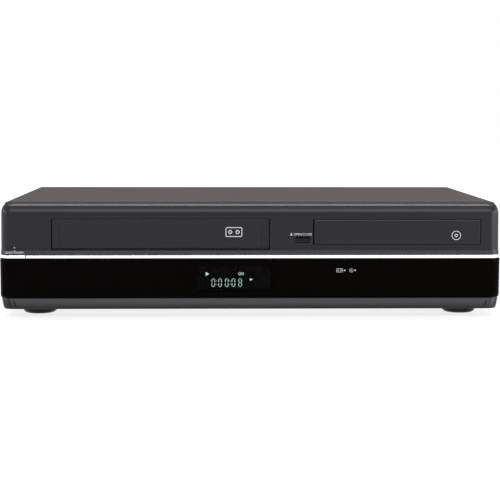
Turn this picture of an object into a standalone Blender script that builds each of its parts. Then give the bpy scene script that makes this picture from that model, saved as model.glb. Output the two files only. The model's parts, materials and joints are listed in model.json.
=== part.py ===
"""A full-width disc and cassette combo deck, modelled as an assembly of its real pieces.

Metres, +Z up, front towards -Y. The origin is on the floor, under the middle of the deck.
Every named size below can be changed by itself: what fits, seats or lines up follows it.
"""

import math

import bmesh
import bpy
from mathutils import Matrix, Vector

# General clearances
GAP = 0.0003
PIN_GAP = 0.0003
OVERRUN = 0.003
BITE = 0.0006

# Whole deck
DECK_DEPTH = 0.268
FOOT_HEIGHT = 0.0075

# Across the front, from its left end to its right end
FRONT_LEFT_MARGIN = 0.0452
CASSETTE_WIDTH = 0.187
FLAP_OVERHANG = 0.00065
EJECT_FLAP_GAP = 0.0238
EJECT_WIDTH = 0.0118
EJECT_TRAY_GAP = 0.0037
TRAY_WIDTH = 0.132
TRAY_FRONT_OVERHANG = 0.00715
FRONT_RIGHT_MARGIN = 0.0167

# Front bezel, levels from the bottom edge upwards
BEZEL_DEPTH = 0.020
BEZEL_WALL = 0.0025
BEZEL_CORNER = 0.009
SKIRT_HEIGHT = 0.0097
DOOR_BAY_HEIGHT = 0.0346
TRIM_BAND_HEIGHT = 0.0029
UPPER_FACE_HEIGHT = 0.0381
SLOPE_HEIGHT = 0.0051
CROWN_HEIGHT = 0.0012
SKIRT_LEAN = 0.0022
SKIRT_SET_BACK = 0.0008
FACE_SET_BACK = 0.0030
LIP_SET_BACK = 0.0016
LIP_HEIGHT = 0.0048
SLOPE_RUN = 0.0035
CROWN_RUN = 0.0022
SKIRT_NARROWING = 0.0030
SKIRT_KNEE_HEIGHT = 0.0065
SKIRT_KNEE_NARROWING = 0.0008
SHOULDER_NARROWING = 0.0013
SHOULDER_DROP = 0.0081
CROWN_NARROWING = 0.0045
CROWN_DROP = 0.0021
WRAP_DEPTH = 0.012
SKIRT_SLIT_INSET = 0.0127
SKIRT_SLIT_WIDTH = 0.0008
SKIRT_SLIT_HEIGHT = 0.0045
SKIRT_SLIT_LEAN = 0.0012
SKIRT_SLIT_DEPTH = 0.0016

# Top cover, a folded sheet
COVER_INSET = 0.0029
COVER_RISE = 0.0004
COVER_SHEET = 0.0008
COVER_FOLD = 0.0020
COVER_HEM_LIFT = 0.0006
COVER_LENGTH = 0.2397
VENT_COUNT = 12
VENT_WIDTH = 0.0030
VENT_PITCH = 0.0065
VENT_HEIGHT = 0.016
VENT_LIFT = 0.052
VENT_SETBACK = 0.150
VENT_ROW_COUNT = 2
VENT_ROW_PITCH = 0.021

# Chassis base, a folded pan
PAN_SHEET = 0.0010
PAN_WALL_HEIGHT = 0.024
PAN_FOLD = 0.0015
PAN_VENT_COUNT = 12
PAN_VENT_WIDTH = 0.0030
PAN_VENT_LENGTH = 0.030
PAN_VENT_PITCH = 0.0070
PAN_VENT_PLACE = (0.115, 0.010)

# Rear panel
REAR_SHEET = 0.0010
REAR_RECESS = 0.0003
FAN_SLOT_COUNT = 7
FAN_SLOT_WIDTH = 0.0030
FAN_SLOT_PITCH = 0.0052

# Feet and screws
FOOT_RADIUS = 0.0150
FOOT_TOE_RADIUS = 0.0128
FOOT_TOE_HEIGHT = 0.0022
FOOT_INSET = 0.0259
FOOT_FRONT_SETBACK = 0.038
FOOT_REAR_SETBACK = 0.030
SCREW_HEAD_RADIUS = 0.0040
SCREW_HEAD_HEIGHT = 0.0016
SCREW_SHANK_RADIUS = 0.0015
SCREW_SHANK_LENGTH = 0.0045
SCREW_HOLE_RADIUS = 0.0019
SCREW_SOCKET_RADIUS = 0.0013
SCREW_SOCKET_DEPTH = 0.0009
COVER_SCREW_LIFT = 0.0130
COVER_SCREW_FRONT_SETBACK = 0.045
COVER_SCREW_REAR_SETBACK = 0.020
REAR_SCREW_INSET = 0.0109
REAR_SCREW_DROP = 0.0090

# Bright trim strip and power button
TRIM_DEPTH = 0.0032
TRIM_SET_BACK = 0.0004
POWER_BUTTON_LENGTH = 0.0225
BUTTON_TRAVEL = 0.0010
POWER_STEM_WIDTH = 0.0040
POWER_STEM_HEIGHT = 0.0016
POWER_STEM_LENGTH = 0.0060
POWER_STEM_INSET = 0.0129

# Open and close button
EJECT_CENTRE_Z = 0.0680
EJECT_HEIGHT = 0.0040
EJECT_PROUD = 0.0006
FLANGE_MARGIN = 0.0012
FLANGE_THICKNESS = 0.0010

# Front door, which tips forward about its lower edge
DOOR_OVERHANG = 0.0007
DOOR_WALL = 0.0022
DOOR_CORNER = 0.0095
DOOR_KNUCKLE = 0.0050
DOOR_PIN_RADIUS = 0.0010
DOOR_PIN_LENGTH = 0.0032
DOOR_EAR_THICKNESS = 0.0024
DOOR_EAR_RADIUS = 0.0024

# Control panel, display and front board
PANEL_SET_BACK = 0.0123
PANEL_THICKNESS = 0.0020
PANEL_FRAME_MARGIN = 0.0020
PANEL_POST_RADIUS = 0.0020
PANEL_POST_SHARES = (0.03, 0.72, 0.97)
DISPLAY_CENTRE_X = -0.014
DISPLAY_CENTRE_Z = 0.0345
DISPLAY_WIDTH = 0.072
DISPLAY_HEIGHT = 0.022
DISPLAY_DEPTH = 0.0036
FRONT_BOARD_THICKNESS = 0.0016
FRONT_BOARD_OFFSET = 0.0027
FRONT_BOARD_LEFT = -0.150
FRONT_BOARD_RIGHT = 0.108
FRONT_BOARD_HEIGHT = 0.026

# Transport keys on the control panel
KEY_WIDTH = 0.0100
KEY_HEIGHT = 0.0046
KEY_PROUD = 0.0014
KEY_BACK = 0.0014
KEY_PITCH = 0.0150
KEY_ROW_PITCH = 0.0110
KEY_COLUMNS_LEFT_X = -0.130
KEY_ROWS_Z = 0.0400
KEY_NAMES = (
    ("stop_key", 0, 0),
    ("play_key", 1, 0),
    ("record_key", 2, 0),
    ("rewind_key", 0, 1),
    ("forward_key", 1, 1),
    ("dub_key", 2, 1),
)

# Front jacks
FRONT_JACK_FIRST_X = 0.124
JACK_PITCH = 0.0150
FRONT_JACK_COUNT = 4
JACK_CENTRE_Z = 0.0330
JACK_BARREL_RADIUS = 0.0041
JACK_BORE_RADIUS = 0.0016
JACK_BARREL_LENGTH = 0.0060
JACK_BLOCK_MARGIN = 0.0065
JACK_BLOCK_HEIGHT = 0.0130
JACK_BLOCK_DEPTH = 0.0110

# Cassette flap and its opening
FLAP_BOTTOM_Z = 0.0600
FLAP_HEIGHT = 0.0257
FLAP_THICKNESS = 0.0020
FLAP_SIDE_GAP = 0.0008
FLAP_BOTTOM_GAP = 0.0009
FLAP_RIDGE_INSET = 0.0063
FLAP_RIDGE_WIDTH = 0.0006
FLAP_RIDGE_DEPTH = 0.0004
FLAP_AXIS_RISE = 0.0039
FLAP_AXIS_SETBACK = 0.0080
FLAP_EAR_WIDTH = 0.0030
FLAP_EAR_LENGTH = 0.0060
FLAP_EAR_RADIUS = 0.0020
FLAP_PIN_RADIUS = 0.0011
FLAP_PIN_LENGTH = 0.0034
FLAP_LUG_WIDTH = 0.0030
FLAP_LUG_HALF = 0.0023

# Disc tray, its front and the drive frame
TRAY_FRONT_BOTTOM_Z = 0.0641
TRAY_FRONT_HEIGHT = 0.0208
TRAY_FRONT_THICKNESS = 0.0025
TRAY_FRONT_GAP = 0.0005
TRAY_FRONT_LEFT_GAP = 0.0010
TRAY_LENGTH = 0.172
TRAY_THICKNESS = 0.0060
TRAY_FLOOR = 0.0020
TRAY_LIFT = 0.0029
DISC_RECESS_RADIUS = 0.0610
DISC_RECESS_MARGIN = 0.0080
SMALL_DISC_RADIUS = 0.0405
SMALL_DISC_DEPTH = 0.0008
TRAY_SLOT_WIDTH = 0.034
DRIVE_WALL = 0.0025
DRIVE_SIDE_GAP = 0.0004
DRIVE_FLOOR = 0.0020
DRIVE_FLOOR_Z = 0.0540
DRIVE_WALL_TOP_Z = 0.0776
DRIVE_FRONT_SETBACK = 0.022
DRIVE_LENGTH = 0.184
DRIVE_LEDGE_WIDTH = 0.0045
DRIVE_OPENING_WIDTH = 0.080
DRIVE_OPENING_FRONT = 0.016
DRIVE_OPENING_LENGTH = 0.148
DRIVE_POST_RADIUS = 0.0035
DRIVE_POST_INSET = 0.0070
DRIVE_BRIDGE_LENGTH = 0.034
DRIVE_BRIDGE_THICKNESS = 0.0024

# Tray gear and rack
GEAR_TEETH = 16
GEAR_MODULE = 0.0011
GEAR_THICKNESS = 0.0024
GEAR_BORE_RADIUS = 0.0015
GEAR_SETBACK = 0.0300
RACK_WIDTH = 0.0030
RACK_INSET = 0.0100
RACK_DROP = 0.0030
TOOTH_BACKLASH = 0.00035
TOOTH_ROOT_SHARE = 1.2
TOOTH_TIP_SHARE = 0.9
TOOTH_FOOT_SHARE = 0.40
TOOTH_CROWN_SHARE = 0.13

# Traverse, turntable, sled and clamp
TRAVERSE_WIDTH = 0.072
TRAVERSE_THICKNESS = 0.0016
TRAVERSE_LENGTH = 0.142
TRAVERSE_PIN_RADIUS = 0.0015
TRAVERSE_PIN_LENGTH = 0.0030
TRAVERSE_AXIS_SETBACK = 0.178
TRAVERSE_WINDOW_WIDTH = 0.048
TRAVERSE_WINDOW_LENGTH = 0.062
SPINDLE_MOTOR_RADIUS = 0.0110
SPINDLE_MOTOR_HEIGHT = 0.0070
TURNTABLE_RADIUS = 0.0130
TURNTABLE_TOP_Z = 0.0655
TURNTABLE_THICKNESS = 0.0018
HUB_RADIUS = 0.0072
HUB_HEIGHT = 0.0010
SPINDLE_RADIUS = 0.0012
RAIL_RADIUS = 0.0011
RAIL_OFFSET = 0.0190
SLED_WIDTH = 0.0460
SLED_LENGTH = 0.0240
SLED_LENS_RADIUS = 0.0030
CLAMP_RADIUS = 0.0130
CLAMP_NECK_RADIUS = 0.0060
CLAMP_FLANGE_RADIUS = 0.0090
CLAMP_THICKNESS = 0.0030

# Tape deck
DECK_LEFT_OVERHANG = 0.0093
DECK_RIGHT_OVERHANG = 0.0096
DECK_FRONT_SETBACK = 0.030
DECK_LENGTH = 0.218
DECK_SHEET = 0.0012
DECK_Z = 0.0330
DECK_POST_RADIUS = 0.0030
DECK_POST_INSET = 0.0080
CASSETTE_HEIGHT = 0.025
CASSETTE_CLEARANCE = 0.0010
CRADLE_SHEET = 0.0010
CRADLE_LIP = 0.0060
CRADLE_FRONT_SETBACK = 0.040
CRADLE_LENGTH = 0.088
CRADLE_TOP_Z = 0.0895
CRADLE_PIN_RADIUS = 0.0015
CRADLE_DROP = 0.020
SLIDER_SHEET = 0.0012
SLIDER_SIDE_GAP = 0.0003
SLIDER_BOTTOM_Z = 0.0380
SLIDER_TOP_Z = 0.0925
SLIDER_TRAVEL = 0.056
SLIDER_LENGTH = 0.070
SLIDER_BAR_LENGTH = 0.010
SLIDER_PIN_Z = 0.0860
BRACKET_SHEET = 0.0012
BRACKET_TOP_Z = 0.0940
BRACKET_LENGTH = 0.150
BRACKET_FOOT = 0.0060
DRUM_RADIUS = 0.0310
DRUM_CENTRE_SETBACK = 0.2200
DRUM_TILT_DEG = 5.97
LOWER_DRUM_HEIGHT = 0.0150
HEAD_DRUM_HEIGHT = 0.0160
DRUM_FOOT_RADIUS = 0.0180
DRUM_FOOT_HEIGHT = 0.0050
DRUM_SHAFT_RADIUS = 0.0030
SPOOL_SPACING = 0.092
SPOOL_SETBACK = 0.132
SPOOL_RADIUS = 0.0140
SPOOL_HUB_RADIUS = 0.0075
SPOOL_HEIGHT = 0.0110
SPOOL_STUB_RADIUS = 0.0025
CAPSTAN_OFFSET = 0.06655
CAPSTAN_SETBACK = 0.192
CAPSTAN_RADIUS = 0.0020
CAPSTAN_HEIGHT = 0.0220
FLYWHEEL_RADIUS = 0.0240
FLYWHEEL_THICKNESS = 0.0060
FLYWHEEL_DROP = 0.0040
CAPSTAN_MOTOR_RADIUS = 0.0220
ROLLER_RADIUS = 0.0060
ROLLER_HEIGHT = 0.0120
ROLLER_OPENING = 0.0040
PINCH_ARM_LENGTH = 0.0180
PINCH_ARM_THICKNESS = 0.0016
PINCH_PIVOT_RADIUS = 0.0016
PINCH_ARM_LIFT = 0.0030
PINCH_END_SHARE = 1.25

# Boards
BOARD_SHEET = 0.0016
BOARD_Z = 0.0160
BOARD_POST_RADIUS = 0.0025
MAIN_BOARD_WIDTH = 0.088
POWER_BOARD_WIDTH = 0.080
POWER_BOARD_INSET = 0.0079
BOARD_SPACING = 0.0040
BOARD_FRONT_SETBACK = 0.074
BOARD_REAR_GAP = 0.0020
SHIELD_CAN_SIZE = (0.045, 0.050, 0.009)
HEATSINK_FIN_COUNT = 5
HEATSINK_FIN = 0.0015
HEATSINK_PITCH = 0.0050
HEATSINK_LENGTH = 0.030
HEATSINK_HEIGHT = 0.022
TRANSFORMER_SIZE = (0.034, 0.032, 0.026)
CAPACITOR_RADIUS = 0.0090
CAPACITOR_HEIGHT = 0.026
CAPACITOR_COUNT = 2
CAPACITOR_PITCH = 0.021

# Rear fan
FAN_SIZE = 0.040
FAN_DEPTH = 0.010
FAN_INSET = 0.0539
FAN_CENTRE_Z = 0.0730
FAN_BORE_RADIUS = 0.0185
FAN_HUB_RADIUS = 0.0085
FAN_BLADE_COUNT = 7
FAN_BLADE_THICKNESS = 0.0010
FAN_BLADE_TIP_GAP = 0.0012
FAN_ARM_WIDTH = 0.0022
FAN_BLADE_PITCH_DEG = 32.0

# Rear sockets
REAR_JACK_COLUMNS = 5
REAR_JACK_ROWS = 3
REAR_JACK_INSET = 0.0120
REAR_JACK_LOW_Z = 0.0260
REAR_JACK_BLOCK_DEPTH = 0.012
AERIAL_RADIUS = 0.0047
AERIAL_BORE_RADIUS = 0.0015
AERIAL_LOW_Z = 0.0280
AERIAL_PITCH = 0.0200
TUNER_SIZE = (0.024, 0.052, 0.046)
TUNER_INSET = 0.0169
VIDEO_SOCKET_INSET = 0.0739
VIDEO_SOCKET_Z = 0.0260
VIDEO_SOCKET_SIZE = (0.0152, 0.0110, 0.0060)
VIDEO_SOCKET_MOUTH = (0.0140, 0.0046)
INLET_INSET = 0.0219
INLET_CENTRE_Z = 0.0300
INLET_BODY = (0.0240, 0.0160, 0.0150)
INLET_RECESS = (0.0150, 0.0078, 0.0110)
INLET_PIN_RADIUS = 0.0012
INLET_PIN_PITCH = 0.0086
INLET_PIN_LENGTH = 0.0080
SOCKET_PROUD = 0.0020

# Facets on round shapes
FEW_SIDES = 10
ROUND_SIDES = 20
BIG_SIDES = 36
CORNER_STEPS = 4

# Places worked out from the sizes above
FRONT_Y = -DECK_DEPTH / 2
REAR_Y = DECK_DEPTH / 2
FLAP_WIDTH = CASSETTE_WIDTH + 2 * FLAP_OVERHANG
TRAY_FRONT_WIDTH = TRAY_WIDTH + 2 * TRAY_FRONT_OVERHANG
EJECT_SPACE = EJECT_FLAP_GAP + EJECT_WIDTH + EJECT_TRAY_GAP
BEZEL_WIDTH = FRONT_LEFT_MARGIN + FLAP_WIDTH + EJECT_SPACE + TRAY_FRONT_WIDTH + FRONT_RIGHT_MARGIN
HALF_BEZEL = BEZEL_WIDTH / 2
HALF_COVER = HALF_BEZEL - COVER_INSET
HALF_DOOR = HALF_BEZEL + DOOR_OVERHANG
FLAP_LEFT = -HALF_BEZEL + FRONT_LEFT_MARGIN
FLAP_RIGHT = FLAP_LEFT + FLAP_WIDTH
TRAY_FRONT_RIGHT = HALF_BEZEL - FRONT_RIGHT_MARGIN
TRAY_FRONT_LEFT = TRAY_FRONT_RIGHT - TRAY_FRONT_WIDTH
EJECT_CENTRE_X = TRAY_FRONT_LEFT - EJECT_TRAY_GAP - EJECT_WIDTH / 2
POWER_STEM_OFFSET = HALF_BEZEL - POWER_STEM_INSET
SKIRT_SLIT_OFFSET = HALF_BEZEL - SKIRT_SLIT_INSET
BEZEL_BOTTOM_Z = FOOT_HEIGHT
BAY_BOTTOM_Z = BEZEL_BOTTOM_Z + SKIRT_HEIGHT
BAY_TOP_Z = BAY_BOTTOM_Z + DOOR_BAY_HEIGHT
BAND_TOP_Z = BAY_TOP_Z + TRIM_BAND_HEIGHT
FACE_TOP_Z = BAND_TOP_Z + UPPER_FACE_HEIGHT
SLOPE_TOP_Z = FACE_TOP_Z + SLOPE_HEIGHT
BEZEL_TOP_Z = SLOPE_TOP_Z + CROWN_HEIGHT
COVER_TOP_Z = BEZEL_TOP_Z + COVER_RISE
BEZEL_REAR_Y = FRONT_Y + BEZEL_DEPTH
COVER_FRONT_Y = BEZEL_REAR_Y + GAP
COVER_REAR_Y = COVER_FRONT_Y + COVER_LENGTH
REAR_PANEL_Y = COVER_REAR_Y - REAR_RECESS
REAR_INNER_Y = REAR_PANEL_Y - REAR_SHEET
PAN_HALF = HALF_COVER - COVER_SHEET - GAP
FOOT_CENTRE_OFFSET = PAN_HALF - FOOT_INSET
REAR_SCREW_OFFSET = PAN_HALF - REAR_SCREW_INSET
POWER_BOARD_RIGHT = PAN_HALF - POWER_BOARD_INSET
POWER_BOARD_X = (POWER_BOARD_RIGHT - POWER_BOARD_WIDTH, POWER_BOARD_RIGHT)
MAIN_BOARD_RIGHT = POWER_BOARD_X[0] - BOARD_SPACING
MAIN_BOARD_X = (MAIN_BOARD_RIGHT - MAIN_BOARD_WIDTH, MAIN_BOARD_RIGHT)
REAR_JACK_FIRST_X = MAIN_BOARD_X[0] + REAR_JACK_INSET
TUNER_CENTRE_X = -PAN_HALF + TUNER_INSET
VIDEO_SOCKET_X = PAN_HALF - VIDEO_SOCKET_INSET
INLET_CENTRE_X = PAN_HALF - INLET_INSET
FAN_CENTRE_X = PAN_HALF - FAN_INSET
PAN_BOTTOM_Z = FOOT_HEIGHT + GAP
PAN_TOP_Z = PAN_BOTTOM_Z + PAN_SHEET
COVER_HEM_Z = PAN_BOTTOM_Z + COVER_HEM_LIFT
PANEL_FRONT_Y = FRONT_Y + PANEL_SET_BACK
PANEL_BACK_Y = PANEL_FRONT_Y + PANEL_THICKNESS
FACE_Y = FRONT_Y + FACE_SET_BACK
FACE_BACK_Y = FACE_Y + BEZEL_WALL
DECK_TOP_Z = DECK_Z + DECK_SHEET
FLAP_TOP_Z = FLAP_BOTTOM_Z + FLAP_HEIGHT
FLAP_AXIS_Y = FRONT_Y + FLAP_AXIS_SETBACK
FLAP_AXIS_Z = FLAP_TOP_Z + FLAP_AXIS_RISE
CASSETTE_X = (FLAP_LEFT + FLAP_RIGHT) / 2
CAPSTAN_X = CASSETTE_X + CAPSTAN_OFFSET
DECK_LEFT = FLAP_LEFT - DECK_LEFT_OVERHANG
DECK_RIGHT = FLAP_RIGHT + DECK_RIGHT_OVERHANG
CASSETTE_BOTTOM_Z = FLAP_BOTTOM_Z - CASSETTE_CLEARANCE / 2
TRAY_X = (TRAY_FRONT_LEFT + TRAY_FRONT_RIGHT) / 2
TRAY_FRONT_TOP_Z = TRAY_FRONT_BOTTOM_Z + TRAY_FRONT_HEIGHT
TRAY_BOTTOM_Z = TRAY_FRONT_BOTTOM_Z + TRAY_LIFT
TRAY_TOP_Z = TRAY_BOTTOM_Z + TRAY_THICKNESS
TRAY_FRONT_Y = FACE_Y + TRAY_FRONT_THICKNESS + GAP
DISC_Y = TRAY_FRONT_Y + DISC_RECESS_MARGIN + DISC_RECESS_RADIUS
DRIVE_FLOOR_TOP_Z = DRIVE_FLOOR_Z + DRIVE_FLOOR
DRIVE_FRONT_Y = FRONT_Y + DRIVE_FRONT_SETBACK
DRIVE_HALF_INSIDE = TRAY_WIDTH / 2 + DRIVE_SIDE_GAP
TRAVERSE_AXIS_Y = FRONT_Y + TRAVERSE_AXIS_SETBACK
TRAVERSE_BOTTOM_Z = DRIVE_FLOOR_TOP_Z + GAP
TRAVERSE_TOP_Z = TRAVERSE_BOTTOM_Z + TRAVERSE_THICKNESS
GEAR_PITCH_RADIUS = GEAR_MODULE * GEAR_TEETH / 2
RACK_PITCH = GEAR_MODULE * math.pi
RACK_FACE_X = TRAY_X + TRAY_WIDTH / 2 - RACK_INSET - RACK_WIDTH
GEAR_Y = FRONT_Y + GEAR_SETBACK
BOARD_TOP_Z = BOARD_Z + BOARD_SHEET
BOARD_FRONT_Y = FRONT_Y + BOARD_FRONT_SETBACK
BOARD_REAR_Y = REAR_INNER_Y - BOARD_REAR_GAP
DOOR_AXIS_Y = FRONT_Y + DOOR_KNUCKLE
DOOR_AXIS_Z = BAY_BOTTOM_Z + GAP + DOOR_KNUCKLE


# Shared modelling steps
def clear_scene():
    """Empties the file and makes the two collections that the deck uses."""
    for old in list(bpy.data.objects):
        bpy.data.objects.remove(old, do_unlink=True)
    for name in ("dvd_vcr_combo_player", "cutters"):
        group = bpy.data.collections.new(name)
        bpy.context.scene.collection.children.link(group)


def finish(name, colour, roughness, metallic=0.0):
    """Returns the named Principled material, made once."""
    made = bpy.data.materials.get(name)
    if made:
        return made
    made = bpy.data.materials.new(name)
    made.use_nodes = True
    shader = made.node_tree.nodes["Principled BSDF"]
    shader.inputs["Base Color"].default_value = (*colour, 1.0)
    shader.inputs["Roughness"].default_value = roughness
    shader.inputs["Metallic"].default_value = metallic
    return made


def charcoal():
    """Satin charcoal moulding."""
    return finish("charcoal", (0.032, 0.030, 0.035), 0.42)


def gloss_black():
    """Gloss black acrylic."""
    return finish("gloss_black", (0.004, 0.003, 0.003), 0.06)


def cover_paint():
    """Matt brownish grey paint."""
    return finish("cover_paint", (0.115, 0.105, 0.102), 0.55)


def bright_trim():
    """Bright plated strip."""
    return finish("bright_trim", (0.90, 0.90, 0.91), 0.15, 1.0)


def zinc():
    """Zinc plated sheet."""
    return finish("zinc", (0.55, 0.55, 0.54), 0.38, 1.0)


def steel():
    """Turned and ground steel."""
    return finish("steel", (0.62, 0.62, 0.63), 0.22, 1.0)


def black_plastic():
    """Plain black inner moulding."""
    return finish("black_plastic", (0.018, 0.018, 0.020), 0.50)


def pale_plastic():
    """Pale inner moulding."""
    return finish("pale_plastic", (0.62, 0.60, 0.55), 0.45)


def board_green():
    """Printed board."""
    return finish("board_green", (0.030, 0.120, 0.050), 0.50)


def rubber():
    """Black rubber."""
    return finish("rubber", (0.015, 0.015, 0.015), 0.80)


def display_glass():
    """Dark glass of the display."""
    return finish("display_glass", (0.010, 0.030, 0.028), 0.08)


def place(name, mesh, origin, look=None):
    """Adds a mesh, written round its origin, as an object at that origin."""
    made = bpy.data.objects.new(name, mesh)
    made.location = origin
    if look:
        mesh.materials.append(look)
        bpy.data.collections["dvd_vcr_combo_player"].objects.link(made)
    else:
        bpy.data.collections["cutters"].objects.link(made)
        made.hide_render = True
        made.display_type = "WIRE"
    return made


def build(name, fill, origin=(0.0, 0.0, 0.0), look=None):
    """Makes an object from a function that fills a bmesh in world places."""
    shape = bmesh.new()
    fill(shape)
    bmesh.ops.translate(shape, verts=shape.verts, vec=-Vector(origin))
    mesh = bpy.data.meshes.new(name)
    shape.to_mesh(mesh)
    shape.free()
    return place(name, mesh, origin, look)


def add_box(shape, x_span, y_span, z_span):
    """Adds a box between two places along each axis and returns its vertices."""
    size = [high - low for low, high in (x_span, y_span, z_span)]
    middle = [(high + low) / 2 for low, high in (x_span, y_span, z_span)]
    matrix = Matrix.Translation(middle) @ Matrix.Diagonal((*size, 1.0))
    return bmesh.ops.create_cube(shape, size=1.0, matrix=matrix)["verts"]


def add_rod(shape, start, end, radius, sides=FEW_SIDES, end_radius=None):
    """Adds a cylinder, or a cone when end_radius is given, between two points."""
    start = Vector(start)
    end = Vector(end)
    along = end - start
    turn = Vector((0.0, 0.0, 1.0)).rotation_difference(along).to_matrix().to_4x4()
    matrix = Matrix.Translation((start + end) / 2) @ turn
    bmesh.ops.create_cone(
        shape,
        cap_ends=True,
        segments=sides,
        radius1=radius,
        radius2=radius if end_radius is None else end_radius,
        depth=along.length,
        matrix=matrix,
    )


def box(name, x_span, y_span, z_span, origin=(0.0, 0.0, 0.0), look=None):
    """One box as an object."""
    return build(name, lambda shape: add_box(shape, x_span, y_span, z_span), origin, look)


def rod(name, start, end, radius, sides=FEW_SIDES, origin=(0.0, 0.0, 0.0), look=None):
    """One cylinder as an object."""
    return build(name, lambda shape: add_rod(shape, start, end, radius, sides), origin, look)


def boolean(target, other, operation):
    """Adds an exact Boolean of the other object to the target."""
    modifier = target.modifiers.new(other.name, "BOOLEAN")
    modifier.operation = operation
    modifier.solver = "EXACT"
    modifier.object = other
    return target


def cut(target, *others):
    """Cuts each other object out of the target."""
    for other in others:
        boolean(target, other, "DIFFERENCE")
    return target


def join(target, *others):
    """Joins each other object to the target."""
    for other in others:
        boolean(target, other, "UNION")
    return target


def plan_block(name, half_width, y_span, z_span, corner, look=None, origin=(0.0, 0.0, 0.0)):
    """A block whose two upright front edges are rounded in plan."""

    def fill(shape):
        add_box(shape, (-half_width, half_width), y_span, z_span)
        middle = (z_span[0] + z_span[1]) / 2
        front = [
            edge
            for edge in shape.edges
            if all(vert.co.y < (y_span[0] + y_span[1]) / 2 for vert in edge.verts)
            and (edge.verts[0].co.z - middle) * (edge.verts[1].co.z - middle) < 0
        ]
        bmesh.ops.bevel(
            shape, geom=front, offset=corner, segments=CORNER_STEPS, profile=0.5, affect="EDGES"
        )

    return build(name, fill, origin, look)


def outline_block(name, points, axis, thickness, origin=(0.0, 0.0, 0.0), look=None):
    """A flat outline extruded along X or Y, with its thickness centred on the origin.

    Points are (y, z) pairs for axis X and (x, z) pairs for axis Y.
    """
    curve = bpy.data.curves.new(name, "CURVE")
    curve.dimensions = "2D"
    curve.fill_mode = "BOTH"
    curve.extrude = thickness / 2
    spline = curve.splines.new("POLY")
    spline.points.add(len(points) - 1)
    for point, (first, second) in zip(spline.points, points):
        point.co = (first, second, 0.0, 1.0)
    spline.use_cyclic_u = True
    drawn = bpy.data.objects.new(name + "_outline", curve)
    bpy.context.scene.collection.objects.link(drawn)
    bpy.context.view_layer.update()
    evaluated = drawn.evaluated_get(bpy.context.evaluated_depsgraph_get())
    mesh = bpy.data.meshes.new_from_object(evaluated)
    bpy.data.objects.remove(drawn, do_unlink=True)
    mesh.materials.clear()
    shape = bmesh.new()
    shape.from_mesh(mesh)
    bmesh.ops.remove_doubles(shape, verts=shape.verts, dist=BITE / 1000)
    columns = {
        "X": ((0.0, 0.0, 1.0), (1.0, 0.0, 0.0), (0.0, 1.0, 0.0)),
        "Y": ((1.0, 0.0, 0.0), (0.0, 0.0, -1.0), (0.0, 1.0, 0.0)),
        "Z": ((1.0, 0.0, 0.0), (0.0, 1.0, 0.0), (0.0, 0.0, 1.0)),
    }[axis]
    turn = Matrix(columns).to_4x4()
    bmesh.ops.transform(shape, matrix=turn, verts=shape.verts)
    bmesh.ops.recalc_face_normals(shape, faces=shape.faces)
    shape.to_mesh(mesh)
    shape.free()
    return place(name, mesh, origin, look)


def turned(name, profile, origin, look, steps=ROUND_SIDES, turn=(0.0, 0.0, 0.0)):
    """A turned piece: (radius, height) pairs run down the outer side from the top."""
    shape = bmesh.new()
    verts = [shape.verts.new((radius, 0.0, height)) for radius, height in profile]
    for first, second in zip(verts, verts[1:]):
        shape.edges.new((first, second))
    closed = profile[0][0] > 0
    if closed:
        shape.edges.new((verts[-1], verts[0]))
    mesh = bpy.data.meshes.new(name)
    shape.to_mesh(mesh)
    shape.free()
    made = place(name, mesh, origin, look)
    made.rotation_euler = turn
    screw = made.modifiers.new("turn", "SCREW")
    screw.steps = steps
    screw.render_steps = steps
    screw.use_merge_vertices = True
    screw.merge_threshold = BITE / 100
    screw.use_smooth_shade = True
    return made


def hang_on(child, parent):
    """Parents a piece without moving it."""
    child.parent = parent
    child.matrix_parent_inverse = Matrix.Translation(parent.location).inverted()
    return child


# Front bezel and what sits in it
def bezel_side_outline():
    """The bezel seen from its end, as (y, z) pairs going round."""
    face = FACE_Y
    return [
        (BEZEL_REAR_Y, BEZEL_BOTTOM_Z),
        (FRONT_Y + SKIRT_LEAN + SKIRT_SET_BACK, BEZEL_BOTTOM_Z),
        (FRONT_Y + SKIRT_SET_BACK, BAY_BOTTOM_Z),
        (FRONT_Y + LIP_SET_BACK, BAY_TOP_Z),
        (FRONT_Y + LIP_SET_BACK, BAND_TOP_Z),
        (face, BAND_TOP_Z + LIP_HEIGHT),
        (face, FACE_TOP_Z),
        (face + SLOPE_RUN, SLOPE_TOP_Z),
        (face + SLOPE_RUN + CROWN_RUN, BEZEL_TOP_Z),
        (BEZEL_REAR_Y, BEZEL_TOP_Z),
    ]


def bezel_front_outline():
    """The bezel seen from the front, as (x, z) pairs going round."""
    right = [
        (HALF_BEZEL - SKIRT_NARROWING, BEZEL_BOTTOM_Z),
        (HALF_BEZEL - SKIRT_KNEE_NARROWING, BEZEL_BOTTOM_Z + SKIRT_KNEE_HEIGHT),
        (HALF_BEZEL, (BAY_BOTTOM_Z + BAY_TOP_Z) / 2),
        (HALF_BEZEL - SHOULDER_NARROWING, BEZEL_TOP_Z - SHOULDER_DROP),
        (HALF_BEZEL - CROWN_NARROWING / 2 - SHOULDER_NARROWING / 2, BEZEL_TOP_Z - CROWN_DROP),
        (HALF_BEZEL - CROWN_NARROWING, BEZEL_TOP_Z),
    ]
    return right + [(-x, z) for x, z in reversed(right)]


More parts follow.
